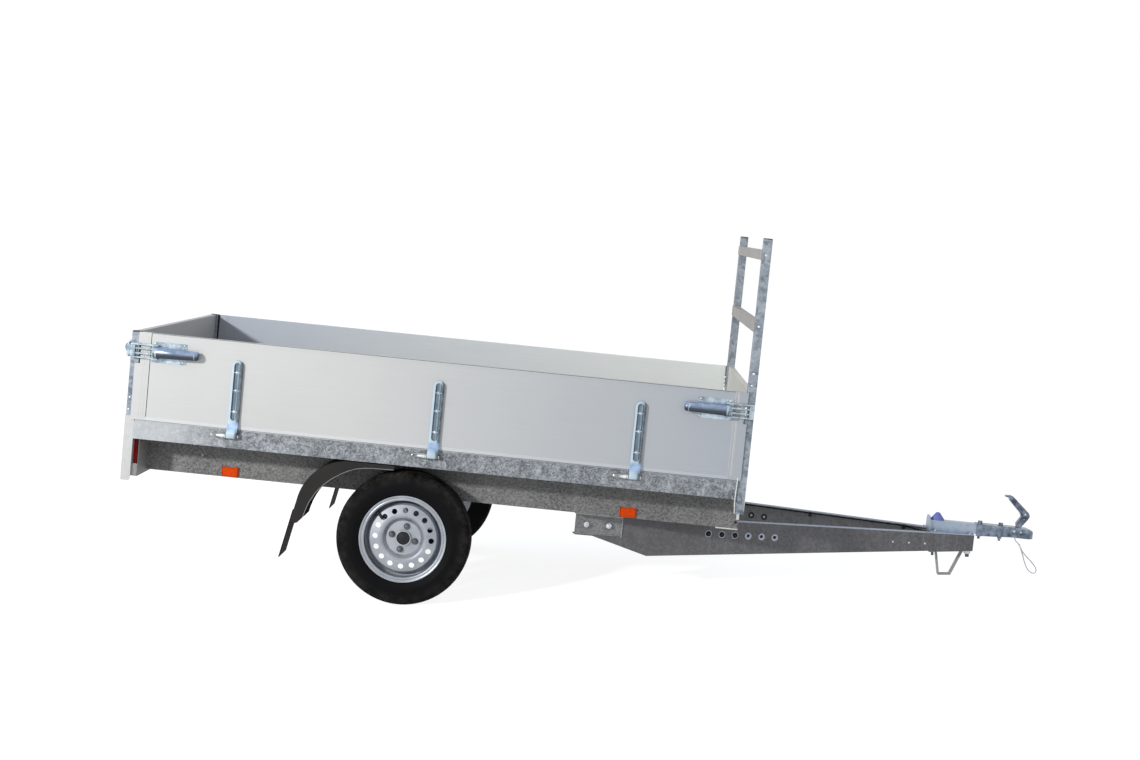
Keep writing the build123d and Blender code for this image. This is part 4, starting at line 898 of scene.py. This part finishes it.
drawbarPlugs = {
    "x": (1284, 1343, 1401, 1460, 1519, 1578), "z": 94, "bolted": 3, "web": 4,
    # each along the plug's axis from the web's inner face, and radius
    "back": ((0.2, 0), (0.2, 12.8), (-2.4, 12.8), (-2.4, 0)),
    "collar": ((-1, 13.5), (-3.4, 13.5), (-3.4, 8.6), (-1, 8.6)),
    "backDome": (-2.4, 6.5, 2),
    "rim": ((3.8, 12.6), (4.7, 12.6), (4.7, 15), (3.8, 15)),
    "bolt": (0.4, 8, 4.6, 1.4), "boltTurn": 0.4, "glint": (5, 3.2, 1, 12), "glintDrop": -3,
    "dish": ((2.2, 5.6), (4, 9), (5.4, 12.8), (5.4, 14.6), (4.1, 15.4), (3.8, 13), (0.6, 12.6),
             (0, 5.6)),
    "stud": ((1, 6.4), (4.2, 6.4), (4.8, 5.2), (4.8, 0)), "studLift": 1.8,
}


def makeDrawbarPlugs():
    # flanged washers in the beam's holes: dark bolt heads in the rear three, dark studs in the rest
    look, up = drawbarPlugs, Vector((0, 0, 1))
    for name, side in sides.items():
        dishes, dark = bmesh.new(), bmesh.new()
        for count, x in enumerate(look["x"]):
            at, out = onDrawbar(x, look["z"], side, -look["web"])
            addLathe(dark, look["back"], at, out, 28)
            addLathe(dark, look["collar"], at, out, 28)
            proud, *size = look["backDome"]
            addDome(dishes, at + out * proud, -out, *size)
            if count < look["bolted"]:
                addLathe(dishes, look["rim"], at, out, 28)
                proud, *size = look["bolt"]
                addBolt(dark, at + out * proud, out, *size, around=look["boltTurn"] + x)
                proud, *size = look["glint"]
                addDome(dishes, at + out * proud + up * look["glintDrop"], out, *size)
            else:
                addLathe(dishes, look["dish"], at, out, 32)
                addLathe(dark, look["stud"], at + up * look["studLift"], out, 20)
        addPiece(dishes, "drawbarDishes." + name, "flangeZinc")
        addPiece(dark, "drawbarPlugs." + name, "cap")


frontTrim = {
    # down the post's rear edge and its front edge: along, out and up; then the bead's radius
    "beads": ((((1356.5, 775.4, 400), (1353.5, 775.4, 340), (1353, 773, 300),
                (1357, 770, 250)), 3.2),
              (((1394, 768, 400), (1394.2, 768, 262)), 1.4)),
    "edge": (1387, 577, 222), "edgeSize": (12, 4, 50),
    "drain": (1381, 575, 184), "drainSize": (6, 1.2),
}


def makeFrontTrim():
    # weld beads down each rack post's foot, the sill channel's bright end and a drain hole below
    look, bead, hole = frontTrim, bmesh.new(), bmesh.new()
    for side in sides.values():
        for route, radius in look["beads"]:
            addRods(bead, [(x, side * y, z) for x, y, z in route], radius, 12)
        x, y, z = look["edge"]
        addBlock(bead, (x, side * y, z), look["edgeSize"])
        x, y, z = look["drain"]
        addDome(hole, (x, side * y, z), (0, side, 0), *look["drainSize"])
    addPiece(bead, "postBeads", "edgeZinc")
    addPiece(hole, "drainPlugs", "cap")


bracketHighlight = {"x": 905.6, "heights": (68, 92, 116, 140), "out": 2.6, "size": (1.8, 5.6, 24.5)}
clipLook = {"x": (2207, 1790, 1440), "drop": 12, "in": -44, "size": (14, 12, 22)}


def makeBracketHighlights():
    # painted highlight: pale strips along each drawbar bracket's front edge
    look, edges = bracketHighlight, bmesh.new()
    for side in sides.values():
        for z in look["heights"]:
            at, out = onDrawbar(look["x"], z, side, look["out"])
            addBlock(edges, at, look["size"], turnTo(out) @ Matrix.Rotation(math.pi / 2, 3, "X"))
    addPiece(edges, "bracketHighlights", "edgeZinc")


def makeClips():
    # black plastic clips that hold the lighting lead at the left beam's top flange
    look, clips = clipLook, bmesh.new()
    for x in look["x"]:
        top = drawbar["rearTop"] + drawbar["rise"] * (x - drawbar["rearX"]) / drawbarRun
        addBlock(clips, onDrawbar(x, top - look["drop"], sides["left"], look["in"])[0], look["size"])
    addPiece(clips, "leadClips", "cap", bevel=1.5)


# ---- guards, lamps and the safety cable
guardLook = {
    # rivets that hold a flap: place of the middle one, way out, steps across, radius and height
    "flapRivet": (-468.4, 687, 60), "flapOut": (-0.9787, 0, 0.2053), "flapSteps": (-60, 0, 60),
    "rivet": (6, 2.4),
    # along, across, up, radius and height, washer
    "stays": ((-397, 605, 186, 6.5, 4.5, 1), (-180, 605, 294, 4, 3.5, 1)),
    # lower edge of the outer skirt, along and up
    "lip": ((-421, 50), (-412, 82), (-399, 118), (-374, 162), (-348, 193), (-315, 223), (-278, 247),
            (-250, 262), (-219, 274), (-185, 281), (-150, 284), (-62, 286)),
    "lipOut": 771.4, "lipRadius": 1.3,
}


def makeGuardTrim():
    # rivets that hold the flaps, bolts in the stays, and a pale rod along the outer skirt's lower edge, a
    # painted highlight
    look = guardLook
    for name, side in sides.items():
        trim, lip = bmesh.new(), bmesh.new()
        x, y, z = look["flapRivet"]
        for step in look["flapSteps"]:
            addDome(trim, (x, side * y + step, z), look["flapOut"], *look["rivet"])
        for x, y, z, *size in look["stays"]:
            addBolt(trim, (x, side * y, z), (0, side, 0), *size)
        addPiece(trim, "guardFixings." + name, "bolt")
        addRods(lip, [(x, side * look["lipOut"], z) for x, z in look["lip"]], look["lipRadius"], 10)
        addPiece(lip, "guardLip." + name, "lip")


lampLook = {
    # as sealLook
    "lampBase.": ("cap", 4, (6, 246, 108), ((-1139, 606, 248),)),
    "lampRibs.": ("redLens", 0, (1.6, 1.6, 88), [(-1175, 606 + k * 30, 248) for k in range(-3, 4)]),
    "lampWindow.": ("clearLens", 1, (2, 56, 40), ((-1174.8, 528, 228),)),
    "lampFlange.": ("edgeZinc", 0.8, (33, 3, 50), ((-1153, 728.5, 172),)),
}
reflectorLook = {
    "x": (-775, 923), "y": 578.5, "z": 180,
    # bars of the frame: along and up from its middle, size
    "bars": ((0, 19, (70, 7, 2.5)), (0, -19, (70, 7, 2.5)), (34, 0, (2.5, 7, 40)), (-34, 0, (2.5, 7, 40))),
}


def makeReflectorFrames():
    look, rims = reflectorLook, bmesh.new()
    for side in sides.values():
        for x in look["x"]:
            for along, high, size in look["bars"]:
                addBlock(rims, (x + along, side * look["y"], look["z"] + high), size)
    addPiece(rims, "reflectorRims", "amberLens")


# route of the safety cable in the level frame, and its real size in metres
cableLook = {
    "points": (
        (2676, -27, 166), (2680, -28.5, 150), (2698, -35.6, 137), (2711, -35.6, 113), (2727, -35.6, 92),
        (2766, -34.6, 60), (2793, -33, 28), (2781, -31.4, 7), (2752, -30.4, 20), (2732, -30.4, 58),
        (2719, -30.4, 94), (2709, -30.4, 115), (2701, -30.4, 131),
    ),
    "diameter": 0.0048, "length": 0.36,
}


def makeSafetyCable():
    look = cableLook
    curve = bpy.data.curves.new("safetyCable", "CURVE")
    curve.dimensions = "3D"
    line = curve.splines.new("NURBS")
    places = [levelToWorld @ Vector(point) for point in look["points"]]
    line.points.add(len(places) - 1)
    for point, place in zip(line.points, places):
        point.co = (*place, 1)
    line.order_u, line.use_endpoint_u = 3, True
    curve.bevel_depth, curve.bevel_resolution, curve.resolution_u = look["diameter"] / 2, 4, 10
    curve.materials.append(finishes["wire"])
    cable = bpy.data.objects.new("safetyCable", curve)
    bpy.context.collection.objects.link(cable)
    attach(cable, "chassis")
    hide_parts("safety_cable")


# ---- stage, in metres
stageLook = {
    "floorSize": 60, "paper": (0.45, 0.45, 0.46), "glow": (0.89, 0.89, 0.89),
    "sky": (0.80, 0.90, 1), "skyLevel": 0.38,
}


def makeStage():
    # A floor that looks like white paper and keeps the shadow, while it throws back only a little light.
    look = stageLook
    bpy.ops.mesh.primitive_plane_add(size=look["floorSize"], location=(0, 0, 0))
    floor = bpy.context.object
    floor.name = "floor"
    paper = Finish("paper", Roughness=0.95, Specular_IOR_Level=0, Emission_Strength=1)
    paper.give("Base Color", look["paper"])
    paper.give("Emission Color", paper.blend(paper.watched(), (0, 0, 0), look["glow"]))
    floor.data.materials.append(paper.material)
    world = bpy.data.worlds.new("studio")
    bpy.context.scene.world = world
    world.use_nodes = True
    sky = Graph(world.node_tree)
    back, seen = world.node_tree.nodes["Background"], sky.watched()
    sky.feed(back.inputs["Color"], sky.blend(seen, look["sky"], (1, 1, 1)))
    sky.feed(back.inputs["Strength"], seen * (1 - look["skyLevel"]) + look["skyLevel"])


lamps = {
    # name: place, aimed at, size, watts
    "key": ((-6.75, -8.53, 4.34), (-0.6, 0, 0.5), 0.6, 760),
    "fill": ((4.5, -7.5, 3.5), (0.3, 0, 0.4), 5, 35),
}


def makeLamps():
    for name, (place, aim, size, watts) in lamps.items():
        light = bpy.data.lights.new(name, "AREA")
        light.size, light.energy = size, watts
        lamp = bpy.data.objects.new(name, light)
        lamp.location = place
        lamp.rotation_euler = (Vector(aim) - Vector(place)).to_track_quat("-Z", "Y").to_euler()
        bpy.context.collection.objects.link(lamp)


cameraLook = {
    "place": (0.9117 + axle[0], -8.5677, 1.5686), "lens": 60.11, "sensor": 36, "clip": (0.1, 100),
    "yaw": 0.0273, "pitch": 0.0798, "roll": -0.0028,
}


def makeCamera():
    look = cameraLook
    data = bpy.data.cameras.new("camera")
    data.lens, data.sensor_width, data.sensor_fit = look["lens"], look["sensor"], "HORIZONTAL"
    data.clip_start, data.clip_end = look["clip"]
    camera = bpy.data.objects.new("camera", data)
    turn = (Matrix.Rotation(look["yaw"], 4, "Z") @ Matrix.Rotation(math.pi / 2 - look["pitch"], 4, "X")
            @ Matrix.Rotation(look["roll"], 4, "Z"))
    camera.matrix_world = Matrix.Translation(look["place"]) @ turn
    bpy.context.collection.objects.link(camera)
    bpy.context.scene.camera = camera


dressNodes()
for wheelName, wheelSide in sides.items():
    makeTyre(wheelName, wheelSide)
    makeWheelTrim(wheelName, wheelSide)
print("wheels dressed")
for makePart in (makeStrapHeads, makePins, makeLatchTrim, makeChassisBolts, makeFootBolts,
                 makeDrawbarPlugs, makeFrontTrim, makeBracketHighlights, makeClips):
    makePart()
makeBlocks(sealLook)
makeBoardTrim()
makeKeepers()
print("fastenings placed")
makeGuardTrim()
makeBlocks(lampLook)
makeReflectorFrames()
makeSafetyCable()
print("lamps, guards and cable placed")
makeStage()
makeLamps()
makeCamera()
bpy.context.scene.view_settings.view_transform = "Standard"
print("scene ready")
